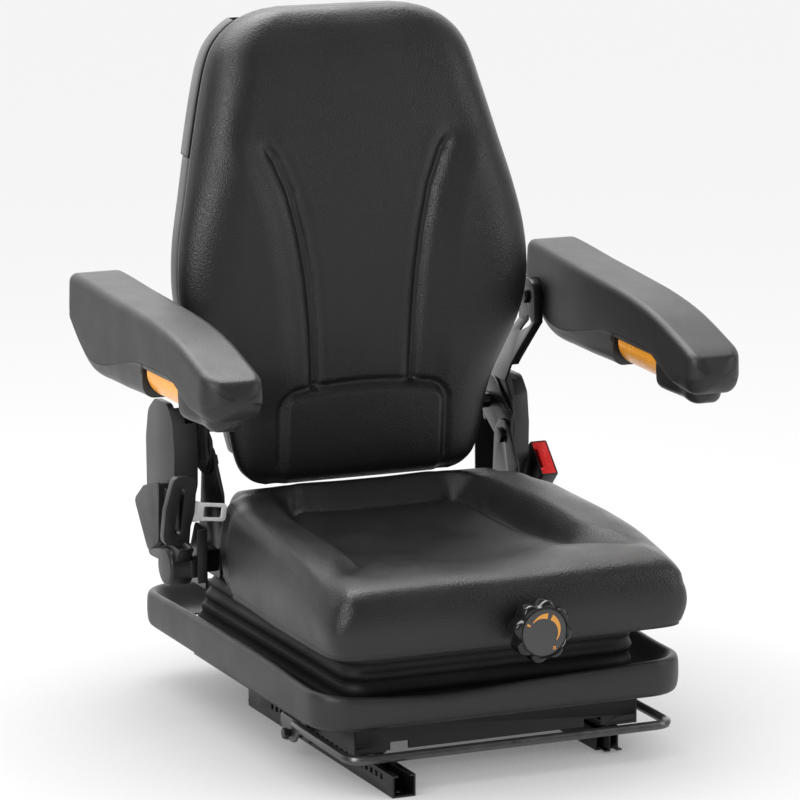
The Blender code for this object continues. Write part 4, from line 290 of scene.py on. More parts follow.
# Scissor, shafts, springs and damper
# Two pairs of flat arms cross inside the dish and run on plastic rollers. Two coil springs pull them
# together and an oil damper calms them. All of it is hidden by the bellows.
for node, body in (("scissor_outer_arms", "scissor_outer"), ("scissor_inner_arms", "scissor_inner"),
                   ("upper_frame", "seat_base"), ("seat_pan", "seat_base"), ("damper_tube", "damper_tube"),
                   ("spring_yoke", "yoke")):
    softened(node, body, satin_black_paint, 0.0004)
bright_steel = speckled_finish(
    "bright_steel", (0.72, 0.72, 0.73), 0.30, (0.03, 0.12, 0.07), (0.0009, 0.0002, 0.10), 1.0,
)
black_nylon = speckled_finish(
    "black_nylon", (0.018, 0.018, 0.019), 0.42, (0.04, 0.15, 0.05), (0.0011, 0.0003, 0.16),
)
for node in ("lower_pivot_shaft", "upper_pivot_shaft", "damper_rod", "main_spring_left", "main_spring_right",
             "weight_spindle"):
    repaint(node, bright_steel)
for node in ("upper_roller_left", "upper_roller_right", "lower_roller_left", "lower_roller_right"):
    repaint(node, black_nylon)
stop_rubber = speckled_finish(
    "stop_rubber", (0.016, 0.016, 0.016), 0.62, (0.02, 0.2, 0.05), (0.0010, 0.0003, 0.2),
)
repaint("bump_stop", stop_rubber)

# Dish and bellows
# A moulded dish with a rolled rim stands round the suspension, and a folded rubber bellows closes the space
# between it and the seat. Both are black, the dish smooth with a fine even grain.
def plan_loop(half, front, rear, corner, steps):
    """A rectangle with round corners seen from above, from its rear +X corner round to the -X side."""
    longest_side = 0.030
    points = []
    for x, y, start in (
        (half - corner, rear - corner, 0.0), (-half + corner, rear - corner, 90.0),
        (-half + corner, front + corner, 180.0), (half - corner, front + corner, 270.0),
    ):
        for step in range(steps + 1):
            angle = math.radians(start + 90.0 * step / steps)
            points.append((x + corner * math.cos(angle), y + corner * math.sin(angle)))
    filled = []
    for first, second in zip(points, points[1:] + points[:1]):
        filled.append(first)
        pieces = int((Vector(second) - Vector(first)).length / longest_side)
        for piece in range(1, pieces):
            filled.append(tuple(Vector(first).lerp(Vector(second), piece / pieces)))
    return filled


def read_table(table, at):
    """A value from a table of (position, value), eased through its points without kinks."""
    if at <= table[0][0]:
        return table[0][1]
    if at >= table[-1][0]:
        return table[-1][1]
    for index in range(len(table) - 1):
        if at <= table[index + 1][0]:
            break
    before = table[max(0, index - 1)]
    low = table[index]
    high = table[index + 1]
    after = table[min(len(table) - 1, index + 2)]
    span = high[0] - low[0]
    first = (high[1] - before[1]) / (high[0] - before[0]) * span
    second = (after[1] - low[1]) / (after[0] - low[0]) * span
    part = (at - low[0]) / span
    square = part * part
    cube = square * part
    return (
        low[1] * (2 * cube - 3 * square + 1) + first * (cube - 2 * square + part)
        + high[1] * (3 * square - 2 * cube) + second * (cube - square)
    )


def ease(low, high, at):
    part = min(1.0, max(0.0, (at - low) / (high - low)))
    return part * part * (3.0 - 2.0 * part)


def walled_ring(name, rows):
    """Loops of points, one above or inside the other, joined into a skin."""
    shape = bmesh.new()
    loops = []
    for row in rows:
        corners = [shape.verts.new(point) for point in row]
        loops.append([shape.edges.new((corners[i - 1], corners[i])) for i in range(len(corners))])
    for lower, upper in zip(loops[:-1], loops[1:]):
        bmesh.ops.bridge_loops(shape, edges=lower + upper)
    bmesh.ops.recalc_face_normals(shape, faces=shape.faces)
    return mesh_from(shape, name)


def place_piece(name, mesh, body, material, replaced=()):
    mesh.materials.clear()
    mesh.materials.append(material)
    mesh.shade_smooth()
    piece = bpy.data.objects.new(name, mesh)
    scene.collection.objects.link(piece)
    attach(piece, body)
    if replaced:
        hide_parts(*replaced)
    return piece


def add_wall(piece, thickness):
    wall = piece.modifiers.new("wall", "SOLIDIFY")
    wall.thickness = thickness
    wall.offset = -1.0


dish_half = 0.248
dish_front = -0.287
dish_rear = 0.346
dish_rim = 0.1265
dish_floor = 0.0803
dish_foot = 0.0737
dish_corner = 0.052
dish_wall = 0.003
# Inset and height of the dish's skin, from its bottom edge up the outside, over the rim and down inside
dish_section = (
    (0.0105, dish_foot + 0.0004), (0.0045, dish_foot + 0.0012), (0.0014, dish_foot + 0.0060),
    (0.0002, dish_foot + 0.0160), (0.0000, dish_foot + 0.0280), (0.0004, dish_rim - 0.0090),
    (0.0016, dish_rim - 0.0042), (0.0038, dish_rim - 0.0012), (0.0066, dish_rim),
    (0.0094, dish_rim - 0.0010), (0.0122, dish_rim - 0.0040), (0.0165, dish_rim - 0.0120),
    (0.0225, dish_rim - 0.0245), (0.0285, dish_floor + 0.0120), (0.0345, dish_floor + 0.0062),
    (0.0420, dish_floor + 0.0030),
)
# How far the rim dips along Y, and across X at its front
rim_wave = (
    (-0.300, -0.0042), (-0.216, -0.0052), (-0.176, -0.0040), (-0.126, -0.0014), (-0.060, 0.0000),
    (0.030, 0.0000), (0.184, -0.0024), (0.300, -0.0050), (0.350, -0.0060),
)
front_wave = (
    (-0.248, 0.0), (-0.190, -0.0055), (-0.110, -0.0115), (-0.040, -0.0105), (0.040, -0.0065),
    (0.120, -0.0035), (0.200, -0.0010), (0.248, 0.0),
)
dish_rows = []
for inset, height in dish_section:
    rise = ease(dish_foot + 0.010, dish_rim, height)
    corner = max(0.012, dish_corner - inset * 0.6)
    row = []
    for x, y in plan_loop(dish_half - inset, dish_front + inset, dish_rear - inset, corner, 8):
        sag = (read_table(rim_wave, y) + read_table(front_wave, x) * ease(-0.225, -0.275, y)) * rise
        row.append((x, y, height + sag))
    dish_rows.append(row)
dish_plastic = speckled_finish(
    "dish_moulding", (0.018, 0.018, 0.0185), 0.46, (0.06, 0.12, 0.05), (0.0010, 0.0004, 0.30),
)
dish = place_piece("suspension_dish", walled_ring("suspension_dish", dish_rows), "carriage", dish_plastic,
                   ("suspension_skirt",))
add_wall(dish, dish_wall)
smooth = dish.modifiers.new("smooth", "SUBSURF")
smooth.levels = 1
smooth.render_levels = 1

bellows_low = 0.0815
bellows_high = 0.1592
bellows_half = 0.1925
bellows_front = -0.2415
bellows_rear = 0.286
bellows_corner = 0.030
bellows_wall = 0.0015
# The rear wall leans in towards the upper frame
rear_lean = 0.062
fold_count = 4
fold_depth = 0.0040
bellows_rows = []
for step in range(fold_count * 4 + 1):
    part = step / (fold_count * 4)
    out = fold_depth * (0.5 - 0.5 * math.cos(math.tau * fold_count * part))
    height = bellows_low + (bellows_high - bellows_low) * part
    row = []
    rear = bellows_rear - rear_lean * part + out
    for x, y in plan_loop(bellows_half + out, bellows_front - out, rear, bellows_corner + out, 5):
        row.append((x, y, height))
    bellows_rows.append(row)
bellows_rubber = speckled_finish(
    "bellows_rubber", (0.004, 0.004, 0.004), 0.60, (0.03, 0.2, 0.05), (0.0012, 0.0004, 0.25),
)
folds = place_piece("bellows_skin", walled_ring("bellows_skin", bellows_rows), "carriage", bellows_rubber,
                    ("bellows",))
add_wall(folds, bellows_wall)
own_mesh(folds)

# Cushion
# Foam moulded in one piece with a grained black vinyl skin: a sunk seat panel between two broad bolsters,
# a firm roll at the back and a soft roll over the front edge. A thin hard lip closes it at the bottom.
def grid_block(counts):
    """A cube of size 2 cut into even strips along X, Y and Z."""
    shape = bmesh.new()
    bmesh.ops.create_cube(shape, size=2.0)
    for axis, count in enumerate(counts):
        whole = [
            edge for edge in shape.edges
            if abs(edge.verts[0].co[axis] - edge.verts[1].co[axis]) > 1.9
        ]
        bmesh.ops.subdivide_edges(shape, edges=whole, cuts=count, use_grid_fill=True)
    return shape


def near_line(line, x, y):
    """How far a point is from a line of points, and how far along the line that is, from 0 to 1."""
    best = (1.0, 0.0)
    steps = len(line) - 1
    here = Vector((x, y))
    for index in range(steps):
        start = Vector(line[index])
        run = Vector(line[index + 1]) - start
        part = min(1.0, max(0.0, (here - start).dot(run) / run.length_squared))
        gap = (here - start - run * part).length
        if gap < best[0]:
            best = (gap, (index + part) / steps)
    return best


cushion_front = -0.311
cushion_rear = 0.190
cushion_bottom = 0.1668
pan_clearance = 0.2057
cushion_middle = (cushion_front + cushion_rear) / 2
cushion_reach = (cushion_rear - cushion_front) / 2
cushion_half = 0.243
seat_height = 0.2385
shoulder = 0.027
lip_tuck = 0.0085
# The crease between the seat panel and the bolster, as X along Y, and the bolster's crest, as Z along Y
crease_x = (
    (-0.290, 0.214), (-0.255, 0.203), (-0.231, 0.190), (-0.190, 0.162), (-0.150, 0.1405), (-0.060, 0.137),
    (0.008, 0.136), (0.060, 0.130), (0.102, 0.122), (0.140, 0.110), (0.170, 0.094),
)
bolster_crest = (
    (-0.300, 0.238), (-0.277, 0.243), (-0.244, 0.2535), (-0.179, 0.2665), (-0.100, 0.2735), (-0.020, 0.2775),
    (0.060, 0.2805), (0.110, 0.2820), (0.150, 0.2790), (0.168, 0.2760), (0.190, 0.2650),
)
crease_line = [(x, y) for y, x in crease_x]


def cushion_width(y):
    """Half the cushion's width, which narrows in three steps towards the backrest."""
    taper = 0.006 * ease(-0.136, 0.044, y)
    waist = 0.014 * ease(0.046, 0.092, y)
    tail = 0.022 * ease(0.108, 0.140, y)
    return cushion_half - taper - waist - tail


def cushion_surface(x, y):
    """Height of the cushion's top: a sunk panel, the bolsters beside it, the rear roll and the creases."""
    side = abs(x)
    inner = read_table(crease_x, y)
    lift = ease(inner - 0.004, inner + 0.034, side)
    lift = 0.82 * lift + 0.18 * ease(inner + 0.010, inner + 0.075, side)
    panel = seat_height - 0.0015 * (1.0 - ease(0.02, 0.10, side))
    panel += 0.0165 * ease(-0.120, -0.245, y)
    panel += 0.0060 * ease(0.030, 0.105, side) * ease(-0.030, -0.140, y) * ease(-0.290, -0.200, y)
    panel += 0.0110 * ease(-0.020, 0.130, y)
    panel += 0.0300 * ease(0.126, 0.164, y) - 0.0150 * ease(0.162, 0.188, y)
    crest = read_table(bolster_crest, y)
    height = panel + (crest - panel) * lift
    gap, part = near_line(crease_line, side, y)
    fade = ease(0.12, 0.34, part) * ease(1.0, 0.90, part)
    height -= 0.0060 * fade * math.exp(-(gap / 0.0090) ** 2)
    # A fold runs along the foot of the rear roll and curls up at its ends
    fold = abs(y - (0.126 + 0.008 * ease(0.06, 0.11, side)))
    height -= 0.0034 * math.exp(-(fold / 0.0070) ** 2) * ease(0.126, 0.106, side)
    return height


def cushion_place(a, b, c):
    """Where a point of the grid block, from -1 to 1 each way, lies on the cushion's skin."""
    spread = max(abs(a), abs(b))
    power = 15.0 if b < 0 else 11.0
    norm = (abs(a) ** power + abs(b) ** power) ** (1.0 / power)
    flat_a = a
    flat_b = b
    if norm > 0.0:
        flat_a = a * spread / norm
        flat_b = b * spread / norm
    y = cushion_middle + flat_b * cushion_reach
    x = flat_a * cushion_width(y)
    if spread > 0.9999:
        up = (c + 1.0) / 2
        rim = cushion_surface(x, y) - shoulder
        # The wall bulges a little half way up and turns in at the hard lip
        tuck = lip_tuck * (1.0 - up) ** 2 + 0.0050 * up ** 3 - 0.0010 * math.sin(math.pi * up)
        lip = 0.0022 * math.exp(-(((up - 0.055) / 0.018) ** 2))
        x -= flat_a * (tuck + lip)
        y -= flat_b * (tuck + lip)
        return (x, y, cushion_bottom + (rim - cushion_bottom) * up)
    if c > 0.9999:
        edge = 0.78 + 0.14 * ease(0.70, 0.98, b)
        part = max(0.0, (spread - edge) / (1.0 - edge))
        tuck = 0.0050 * ease(0.90, 1.0, spread)
        x -= flat_a * tuck
        y -= flat_b * tuck
        fall = 1.0 - math.sqrt(max(0.0, 1.0 - part ** 2.2))
        return (x, y, cushion_surface(x, y) - shoulder * fall)
    tuck = lip_tuck * ease(0.88, 1.0, spread)
    x -= flat_a * tuck
    y -= flat_b * tuck
    # The underside is hollow over the seat pan, inside the lip
    under = pan_clearance if spread < 0.885 else cushion_bottom
    return (x, y, under)


def even_out(value, edge=0.78, share=0.64):
    """Moves grid lines closer together towards the rim, where the surface turns most."""
    size = abs(value)
    if size < share:
        moved = size * edge / share
    else:
        moved = edge + (size - share) / (1.0 - share) * (1.0 - edge)
    return math.copysign(moved, value)


def add_leather_grain(material, cell, distance, strength):
    """Small rounded pebbles with soft valleys between them, as in embossed vinyl."""
    tree = material.node_tree
    place = tree.nodes.new("ShaderNodeTexCoord")
    drift = tree.nodes.new("ShaderNodeTexNoise")
    drift.inputs["Scale"].default_value = 0.45 / cell
    drift.inputs["Detail"].default_value = 1.0
    moved = tree.nodes.new("ShaderNodeVectorMath")
    moved.operation = "MULTIPLY_ADD"
    moved.inputs[1].default_value = (cell * 0.9, cell * 0.9, cell * 0.9)
    pebble = tree.nodes.new("ShaderNodeTexVoronoi")
    pebble.feature = "SMOOTH_F1"
    pebble.inputs["Scale"].default_value = 1.0 / cell
    pebble.inputs["Smoothness"].default_value = 0.35
    round_top = tree.nodes.new("ShaderNodeMapRange")
    round_top.inputs["From Min"].default_value = 0.10
    round_top.inputs["From Max"].default_value = 0.75
    round_top.inputs["To Min"].default_value = 1.0
    round_top.inputs["To Max"].default_value = 0.0
    tree.links.new(place.outputs["Object"], drift.inputs["Vector"])
    tree.links.new(drift.outputs["Color"], moved.inputs[0])
    tree.links.new(place.outputs["Object"], moved.inputs[2])
    tree.links.new(moved.outputs[0], pebble.inputs["Vector"])
    tree.links.new(pebble.outputs["Distance"], round_top.inputs["Value"])
    add_bump(material, round_top.outputs["Result"], distance, strength)


vinyl = make_finish("grained_black_vinyl", (0.011, 0.011, 0.0113), 0.40)
vary_finish(vinyl, 0.055, 0.12, 0.05)
add_leather_grain(vinyl, 0.0018, 0.0005, 0.55)
shape = grid_block((118, 118, 22))
for vert in shape.verts:
    vert.co = cushion_place(even_out(vert.co.x), even_out(vert.co.y), vert.co.z)
bmesh.ops.recalc_face_normals(shape, faces=shape.faces)
cushion_mesh = mesh_from(shape, "cushion_skin")
cushion = place_piece("cushion_skin", cushion_mesh, "seat_base", vinyl, ("seat_cushion",))

# Weight adjuster knob
# A moulded knob with eight rounded lobes turns the spindle that stretches the springs. A grey dial is
# pressed into its face, with an orange scale of two growing wedges, a tick and a small cross.
knob_centre = Vector((0.016, -0.346, 0.190))
knob_radius = 0.0388
knob_depth = 0.028
lobe_cut = 0.0062
lobe_count = 8
lobe_steps = 16
first_lobe = math.radians(80.0)
# Radius and depth behind the knob's face, from the dial's seat round the grip to the hub
knob_section = (
    (0.0300, 0.0022), (0.0312, 0.0004), (0.0330, 0.0), (0.0362, 0.0010), (0.0384, 0.0034),
    (knob_radius, 0.0075), (knob_radius, 0.0205), (0.0378, 0.0255), (0.0350, knob_depth),
    (0.0115, knob_depth), (0.0112, 0.0384),
)
knob_rows = []
for radius, depth in knob_section:
    row = []
    for step in range(lobe_count * lobe_steps):
        angle = math.tau * step / (lobe_count * lobe_steps)
        wave = (0.5 + 0.5 * math.cos(lobe_count * (angle - first_lobe))) ** 0.62
        share = ease(0.0305, 0.0375, radius)
        reach = radius - lobe_cut * (1.0 - wave) * share
        across = knob_centre.x + reach * math.cos(angle)
        height = knob_centre.z + reach * math.sin(angle)
        row.append((across, knob_centre.y + depth, height))
    knob_rows.append(row)
knob_mesh = walled_ring("knob_grip", knob_rows)
shape = bmesh.new()
shape.from_mesh(knob_mesh)
bmesh.ops.holes_fill(shape, edges=[edge for edge in shape.edges if edge.is_boundary], sides=0)
bmesh.ops.recalc_face_normals(shape, faces=shape.faces)
shape.to_mesh(knob_mesh)
shape.free()
knob_gloss = speckled_finish(
    "knob_black_gloss", (0.007, 0.007, 0.0073), 0.17, (0.02, 0.12, 0.05), (0.0014, 0.0002, 0.10),
)
place_piece("knob_grip", knob_mesh, "knob", knob_gloss, ("weight_knob",))
knob_mesh.set_sharp_from_angle(angle=math.radians(50.0))
dial_grey = speckled_finish(
    "dial_grey", (0.062, 0.062, 0.064), 0.55, (0.01, 0.1, 0.05), (0.0007, 0.0002, 0.2),
)
dial_turn = Matrix.Translation(knob_centre) @ Matrix.Rotation(math.radians(90.0), 4, "X")
dial_radius = 0.0284
dial_thickness = 0.0016


def thicken(shape, thickness):
    """Raises flat faces along Z into a solid slab."""
    raised = bmesh.ops.extrude_face_region(shape, geom=shape.faces[:])
    verts = [item for item in raised["geom"] if isinstance(item, bmesh.types.BMVert)]
    bmesh.ops.translate(shape, vec=(0.0, 0.0, thickness), verts=verts)


shape = bmesh.new()
bmesh.ops.create_circle(shape, cap_ends=True, segments=96, radius=dial_radius)
thicken(shape, dial_thickness)
top_edges = [edge for edge in shape.edges if all(vert.co.z > 0.001 for vert in edge.verts)]
bmesh.ops.bevel(
    shape, geom=top_edges, offset=0.0005, segments=2, affect="EDGES", profile=0.5, material=-1,
)
bmesh.ops.translate(shape, vec=(0.0, 0.0, -0.0019), verts=shape.verts)
bmesh.ops.transform(shape, matrix=dial_turn, verts=shape.verts)
bmesh.ops.recalc_face_normals(shape, faces=shape.faces)
dial_mesh = mesh_from(shape, "knob_face")
place_piece("knob_face", dial_mesh, "knob", dial_grey, ("knob_dial",))
dial_mesh.set_sharp_from_angle(angle=math.radians(40.0))
scale_orange = speckled_finish(
    "scale_orange", (0.80, 0.36, 0.06), 0.5, (0.004, 0.06, 0.04), (0.0006, 0.0001, 0.15),
)


def scale_mark(shape, inner, outer, steps):
    """A thin printed mark between two lines of polar points (degrees, radius), seen from the front."""
    near = []
    far = []
    for step in range(steps + 1):
        part = step / steps
        for line, verts in ((inner, near), (outer, far)):
            angle = math.radians(line[0][0] + (line[1][0] - line[0][0]) * part)
            radius = line[0][1] + (line[1][1] - line[0][1]) * part
            verts.append(shape.verts.new((radius * math.cos(angle), radius * math.sin(angle), 0.0)))
    near_edges = [shape.edges.new(pair) for pair in zip(near[:-1], near[1:])]
    far_edges = [shape.edges.new(pair) for pair in zip(far[:-1], far[1:])]
    bmesh.ops.bridge_loops(shape, edges=near_edges + far_edges)


shape = bmesh.new()
scale_mark(shape, ((140.0, 0.0196), (78.0, 0.0166)), ((140.0, 0.0202), (78.0, 0.0238)), 14)
scale_mark(shape, ((62.0, 0.0166), (-32.0, 0.0186)), ((62.0, 0.0238), (-32.0, 0.0196)), 18)
scale_mark(shape, ((156.0, 0.0206), (150.0, 0.0208)), ((156.0, 0.0256), (150.0, 0.0258)), 3)
for turn in (45.0, -45.0):
    arm = bmesh.ops.create_grid(shape, x_segments=3, y_segments=1, size=1.0)
    matrix = Matrix.Translation((0.0133, -0.0200, 0.0)) @ Matrix.Rotation(math.radians(turn), 4, "Z")
    matrix = matrix @ Matrix.Diagonal((0.0026, 0.0007, 1.0, 1.0))
    bmesh.ops.transform(shape, matrix=matrix, verts=arm["verts"])
bmesh.ops.recalc_face_normals(shape, faces=shape.faces)
thicken(shape, 0.0003)
bmesh.ops.translate(shape, vec=(0.0, 0.0, -0.0004), verts=shape.verts)
bmesh.ops.transform(shape, matrix=dial_turn, verts=shape.verts)
bmesh.ops.recalc_face_normals(shape, faces=shape.faces)
scale_mesh = mesh_from(shape, "knob_scale")
place_piece("knob_scale", scale_mesh, "knob", scale_orange)
scale_mesh.shade_flat()

# Hinge plates and recline lever
# A thick steel plate stands on each side of the upper frame and carries the backrest on a shouldered bolt.
# The release lever hangs on the occupant's left, with a flat plastic grip.
gloss_black_paint = speckled_finish(
    "gloss_black_paint", (0.005, 0.005, 0.0053), 0.30, (0.06, 0.2, 0.05), (0.0022, 0.0003, 0.08),
)
for side in ("left", "right"):
    softened("hinge_plate_" + side, "seat_base", gloss_black_paint, 0.0006)
    softened("hinge_bolt_" + side, "seat_base", satin_black_paint, 0.0005)
softened("recline_lever", "recline_lever", gloss_black_paint, 0.0010)
softened("backrest_frame", "backrest", gloss_black_paint, 0.0005)

# Backrest pad
# Foam moulded under the same grained vinyl as the cushion. Two long curved seams are pressed into its face,
# and a firm lumbar pad with a rounded top stands out between their feet.
pad_low = 0.277
pad_tall = 0.606
# Along Z: half the pad's width, the joint between pad and rear shell, and the middle of the pad's face
pad_outline = (
    (0.2770, 0.128), (0.2800, 0.140), (0.2850, 0.150), (0.2980, 0.163), (0.3180, 0.1710), (0.3450, 0.177),
    (0.3770, 0.1835), (0.4050, 0.193), (0.4400, 0.211), (0.4730, 0.2280), (0.5100, 0.2390),
    (0.5450, 0.2420), (0.5920, 0.2385), (0.6470, 0.227), (0.7090, 0.211), (0.7820, 0.192),
    (0.8250, 0.1785), (0.8460, 0.1655), (0.8620, 0.148), (0.8720, 0.130), (0.8780, 0.112),
    (0.8815, 0.094), (0.8830, 0.078),
)
pad_joint = (
    (0.277, 0.2095), (0.400, 0.2130), (0.530, 0.2170), (0.592, 0.2220), (0.647, 0.2310), (0.709, 0.2480),
    (0.782, 0.2640), (0.825, 0.2700), (0.883, 0.2760),
)
pad_face = (
    (0.277, 0.2020), (0.286, 0.1900), (0.300, 0.1835), (0.340, 0.1790), (0.400, 0.1765), (0.500, 0.1740),
    (0.600, 0.1775), (0.700, 0.1880), (0.780, 0.2020), (0.830, 0.2160), (0.858, 0.2290), (0.873, 0.2400),
    (0.880, 0.2490), (0.883, 0.2580),
)
# The pad and the rear shells stand this far in front of those lines
pad_forward = 0.016
rolled_edge = 0.0105
# Each seam from its foot to its top, as X and Z
seam_line = (
    (0.0680, 0.392), (0.0690, 0.440), (0.0715, 0.490), (0.0765, 0.545), (0.0850, 0.600), (0.0980, 0.655),
    (0.1150, 0.697), (0.1350, 0.728),
)
seam_x = [(z, x) for x, z in seam_line]
lumbar_half = 0.114
lumbar_corner = 0.022
lumbar_top = 0.4035


def lumbar_edge(x, z):
    """Signed distance from the rounded outline of the lumbar pad, above zero inside."""
    across = abs(x) - (lumbar_half - lumbar_corner)
    crown = lumbar_top - 0.010 * (min(abs(x), lumbar_half) / lumbar_half) ** 2
    along = z - (crown - lumbar_corner)
    outside = math.hypot(max(across, 0.0), max(along, 0.0))
    inside = min(max(across, along), 0.0)
    return lumbar_corner - outside - inside


def pad_surface(x, z):
    """Y of the pad's face, with its wings, pressed seams, lumbar pad and rolled edge."""
    half = read_table(pad_outline, z)
    part = min(1.0, abs(x) / half)
    middle = read_table(pad_face, z) - pad_forward
    edge = read_table(pad_joint, z) - pad_forward - rolled_edge
    seam = read_table(seam_x, z)
    body = ease(0.36, 0.44, z) * ease(0.80, 0.66, z)
    wing = 0.0085 * ease(seam + 0.004, seam + 0.055, abs(x)) * body
    centre = 0.0020 * ease(seam, seam - 0.040, abs(x)) * body
    face = middle - wing - centre
    gap, run = near_line(seam_line, abs(x), z)
    fade = ease(1.0, 0.88, run) * ease(0.397, 0.408, z)
    groove = 0.0066 * math.exp(-((gap / 0.0080) ** 2))
    stitch_line = 0.0018 * math.exp(-(((gap - 0.0026) / 0.0018) ** 2))
    swell = 0.0010 * math.exp(-(((gap - 0.0180) / 0.0090) ** 2))
    face += fade * (groove + stitch_line - swell)
    inside = lumbar_edge(x, z)
    face -= 0.0075 * ease(-0.001, 0.011, inside)
    face += 0.0030 * math.exp(-(((inside + 0.0035) / 0.0042) ** 2)) * ease(0.287, 0.308, z)
    round_part = max(0.0, (part - 0.70) / 0.30)
    return face + (edge - face) * (1.0 - (max(0.0, 1.0 - round_part ** 2.1)) ** 0.5)


def pad_place(a, b, c):
    """Where a point of the grid block lies on the pad's skin."""
    z = pad_low + pad_tall * (c + 1.0) / 2
    half = read_table(pad_outline, z)
    x = a * half
    joint = read_table(pad_joint, z) - pad_forward
    front = pad_surface(x, z)
    depth = (b + 1.0) / 2
    if b > 0.9999:
        return (x * 0.985, joint, z)
    if b < -0.9999:
        return (x, front, z)
    return (x * (1.0 - 0.015 * depth ** 2), front + (joint - front) * depth, z)


def crowd(value, places, width, strength):
    """Draws grid lines together round some places, so that fine forms there get more faces."""
    moved = value
    for spot in places:
        gap = value - spot
        moved -= strength * gap * math.exp(-((gap / width) ** 2))
    return moved


shape = grid_block((190, 5, 230))
for vert in shape.verts:
    a = crowd(vert.co.x, (-0.36, 0.36), 0.20, 0.42)
    c = crowd(vert.co.z, (-0.60,), 0.09, 0.45)
    vert.co = pad_place(a, vert.co.y, c)
bmesh.ops.recalc_face_normals(shape, faces=shape.faces)
back_mesh = mesh_from(shape, "backrest_skin")
backrest = place_piece("backrest_skin", back_mesh, "backrest", vinyl, ("backrest_pad",))

# Rear shell
# Two smooth plastic mouldings close the back. The upper one stands a little prouder, and its lower edge
# makes a step at each side.
shell_grey = speckled_finish(
    "rear_shell_black", (0.022, 0.022, 0.023), 0.34, (0.08, 0.12, 0.05), (0.0014, 0.0003, 0.14),
)
shell_inset = 0.003
shell_wall = 0.003
shell_gap = 0.0003
turn_from = 0.86


def shell_edge(z):
    return read_table(pad_joint, z) - pad_forward + shell_gap


def shell_back(x, z):
    """Y of the shell's rear face, bowed out in its middle."""
    half = read_table(pad_outline, z) - shell_inset
    part = min(1.0, abs(x) / half)
    upright = ease(0.870, 0.800, z) * ease(0.314, 0.372, z)
    bowl = 0.0245 + 0.0275 * (max(0.0, 1.0 - part ** 3.4)) ** 0.5 * upright
    return shell_edge(z) + bowl


def rear_shell(name, low, high, outset, node):
    """A shell from one height to another, turned in along its sides to meet the pad."""
    shape = bmesh.new()
    bmesh.ops.create_grid(shape, x_segments=64, y_segments=60, size=1.0)
    for vert in shape.verts:
        across = vert.co.x
        z = low + (high - low) * (vert.co.y + 1.0) / 2
        half = read_table(pad_outline, z) - shell_inset + outset
        joint = shell_edge(z)
        side = max(0.0, (abs(across) - turn_from) / (1.0 - turn_from))
        across_flat = min(1.0, abs(across) / turn_from)
        x = math.copysign(half * (across_flat * 0.985 + 0.015 * ease(0.0, 0.5, side)), across)
        y = shell_back(x * 0.985, z) + outset
        if side > 0.0:
            turn = math.sin(min(1.0, side) * math.pi / 2)
            y += (joint - y) * side ** 1.6
            x = math.copysign(half * (0.985 + 0.015 * turn), across)
        vert.co = (x, y, z)
    bmesh.ops.recalc_face_normals(shape, faces=shape.faces)
    if shape.faces[len(shape.faces) // 2].normal.y < 0.0:
        bmesh.ops.reverse_faces(shape, faces=shape.faces)
    mesh = mesh_from(shape, name)
    shell = place_piece(name, mesh, "backrest", shell_grey, (node,))
    add_wall(shell, shell_wall)
    rim = shell.modifiers.new("rim", "BEVEL")
    rim.width = 0.0008
    rim.segments = 2
    rim.limit_method = "ANGLE"
    rim.angle_limit = math.radians(50.0)


rear_shell("rear_shell_lower_skin", 0.318, 0.6985, 0.0, "rear_shell_lower")
rear_shell("rear_shell_upper_skin", 0.700, 0.868, 0.0028, "rear_shell_upper")

# Side covers and armrest brackets
# The covers are smooth grey-black mouldings screwed on behind the upper frame. The brackets are thick
# pressed plates with turned edges, painted gloss black, and crank outwards to the armrest pivots.
cover_grey = speckled_finish(
    "side_cover_black", (0.040, 0.040, 0.041), 0.45, (0.06, 0.1, 0.05), (0.0012, 0.0003, 0.2),
)
for side in ("left", "right"):
    softened("side_cover_" + side, "seat_base", cover_grey, 0.0016, 40.0)
    softened("armrest_bracket_" + side, "backrest", gloss_black_paint, 0.0007, 40.0)
    softened("armrest_pin_" + side, "backrest", satin_black_paint, 0.0005)

# Armrests
# A pad of black skinned foam with a flat top sits on a smooth moulded shell, with a wavy parting line
# between them. An orange roller turns in an opening through the shell and sets the tilt.
arm_middle = 0.3215
arm_half = 0.0385
arm_from = -0.211
shell_from = -0.184
arm_to = 0.290
roller_from = -0.100
roller_to = 0.012
roller_height = 0.4725
roller_radius = 0.0325
opening_from = roller_from - 0.0025
opening_to = roller_to + 0.0075
opening_top = 0.4765
channel = roller_radius + 0.0016
top_corner = 0.0110
nose_corner = 0.018
# Along Y: the height of the pad's top, of the parting line and of the shell's underside
arm_top = (
    (-0.211, 0.4860), (-0.202, 0.4965), (-0.160, 0.5110), (-0.092, 0.5290), (-0.021, 0.5390),
    (0.064, 0.5440), (0.152, 0.5480), (0.270, 0.5540), (0.290, 0.5500),
)
arm_part = (
    (-0.211, 0.4520), (-0.190, 0.4460), (-0.156, 0.4480), (-0.131, 0.4600), (-0.087, 0.4800),
    (-0.037, 0.4830), (0.040, 0.4800), (0.090, 0.4700), (0.179, 0.4540), (0.229, 0.4660), (0.290, 0.5100),
)
arm_bottom = (
    (-0.196, 0.4345), (-0.166, 0.4300), (-0.112, 0.4340), (0.026, 0.4380), (0.105, 0.4360), (0.194, 0.4370),
    (0.224, 0.4450), (0.254, 0.4660), (0.279, 0.4980), (0.290, 0.5050),
)


def arm_stations(start, end):
    """Places along the armrest, close together at its ends and on both sides of the roller's opening."""
    steps = 70
    places = []
    for step in range(steps + 1):
        part = step / steps
        places.append(start + (end - start) * (part - 0.86 * math.sin(math.tau * part) / math.tau))
    for edge in (opening_from, opening_to):
        places = [place for place in places if abs(place - edge) > 0.0022]
        places += [edge - 0.0002, edge + 0.0002]
    return sorted(places)


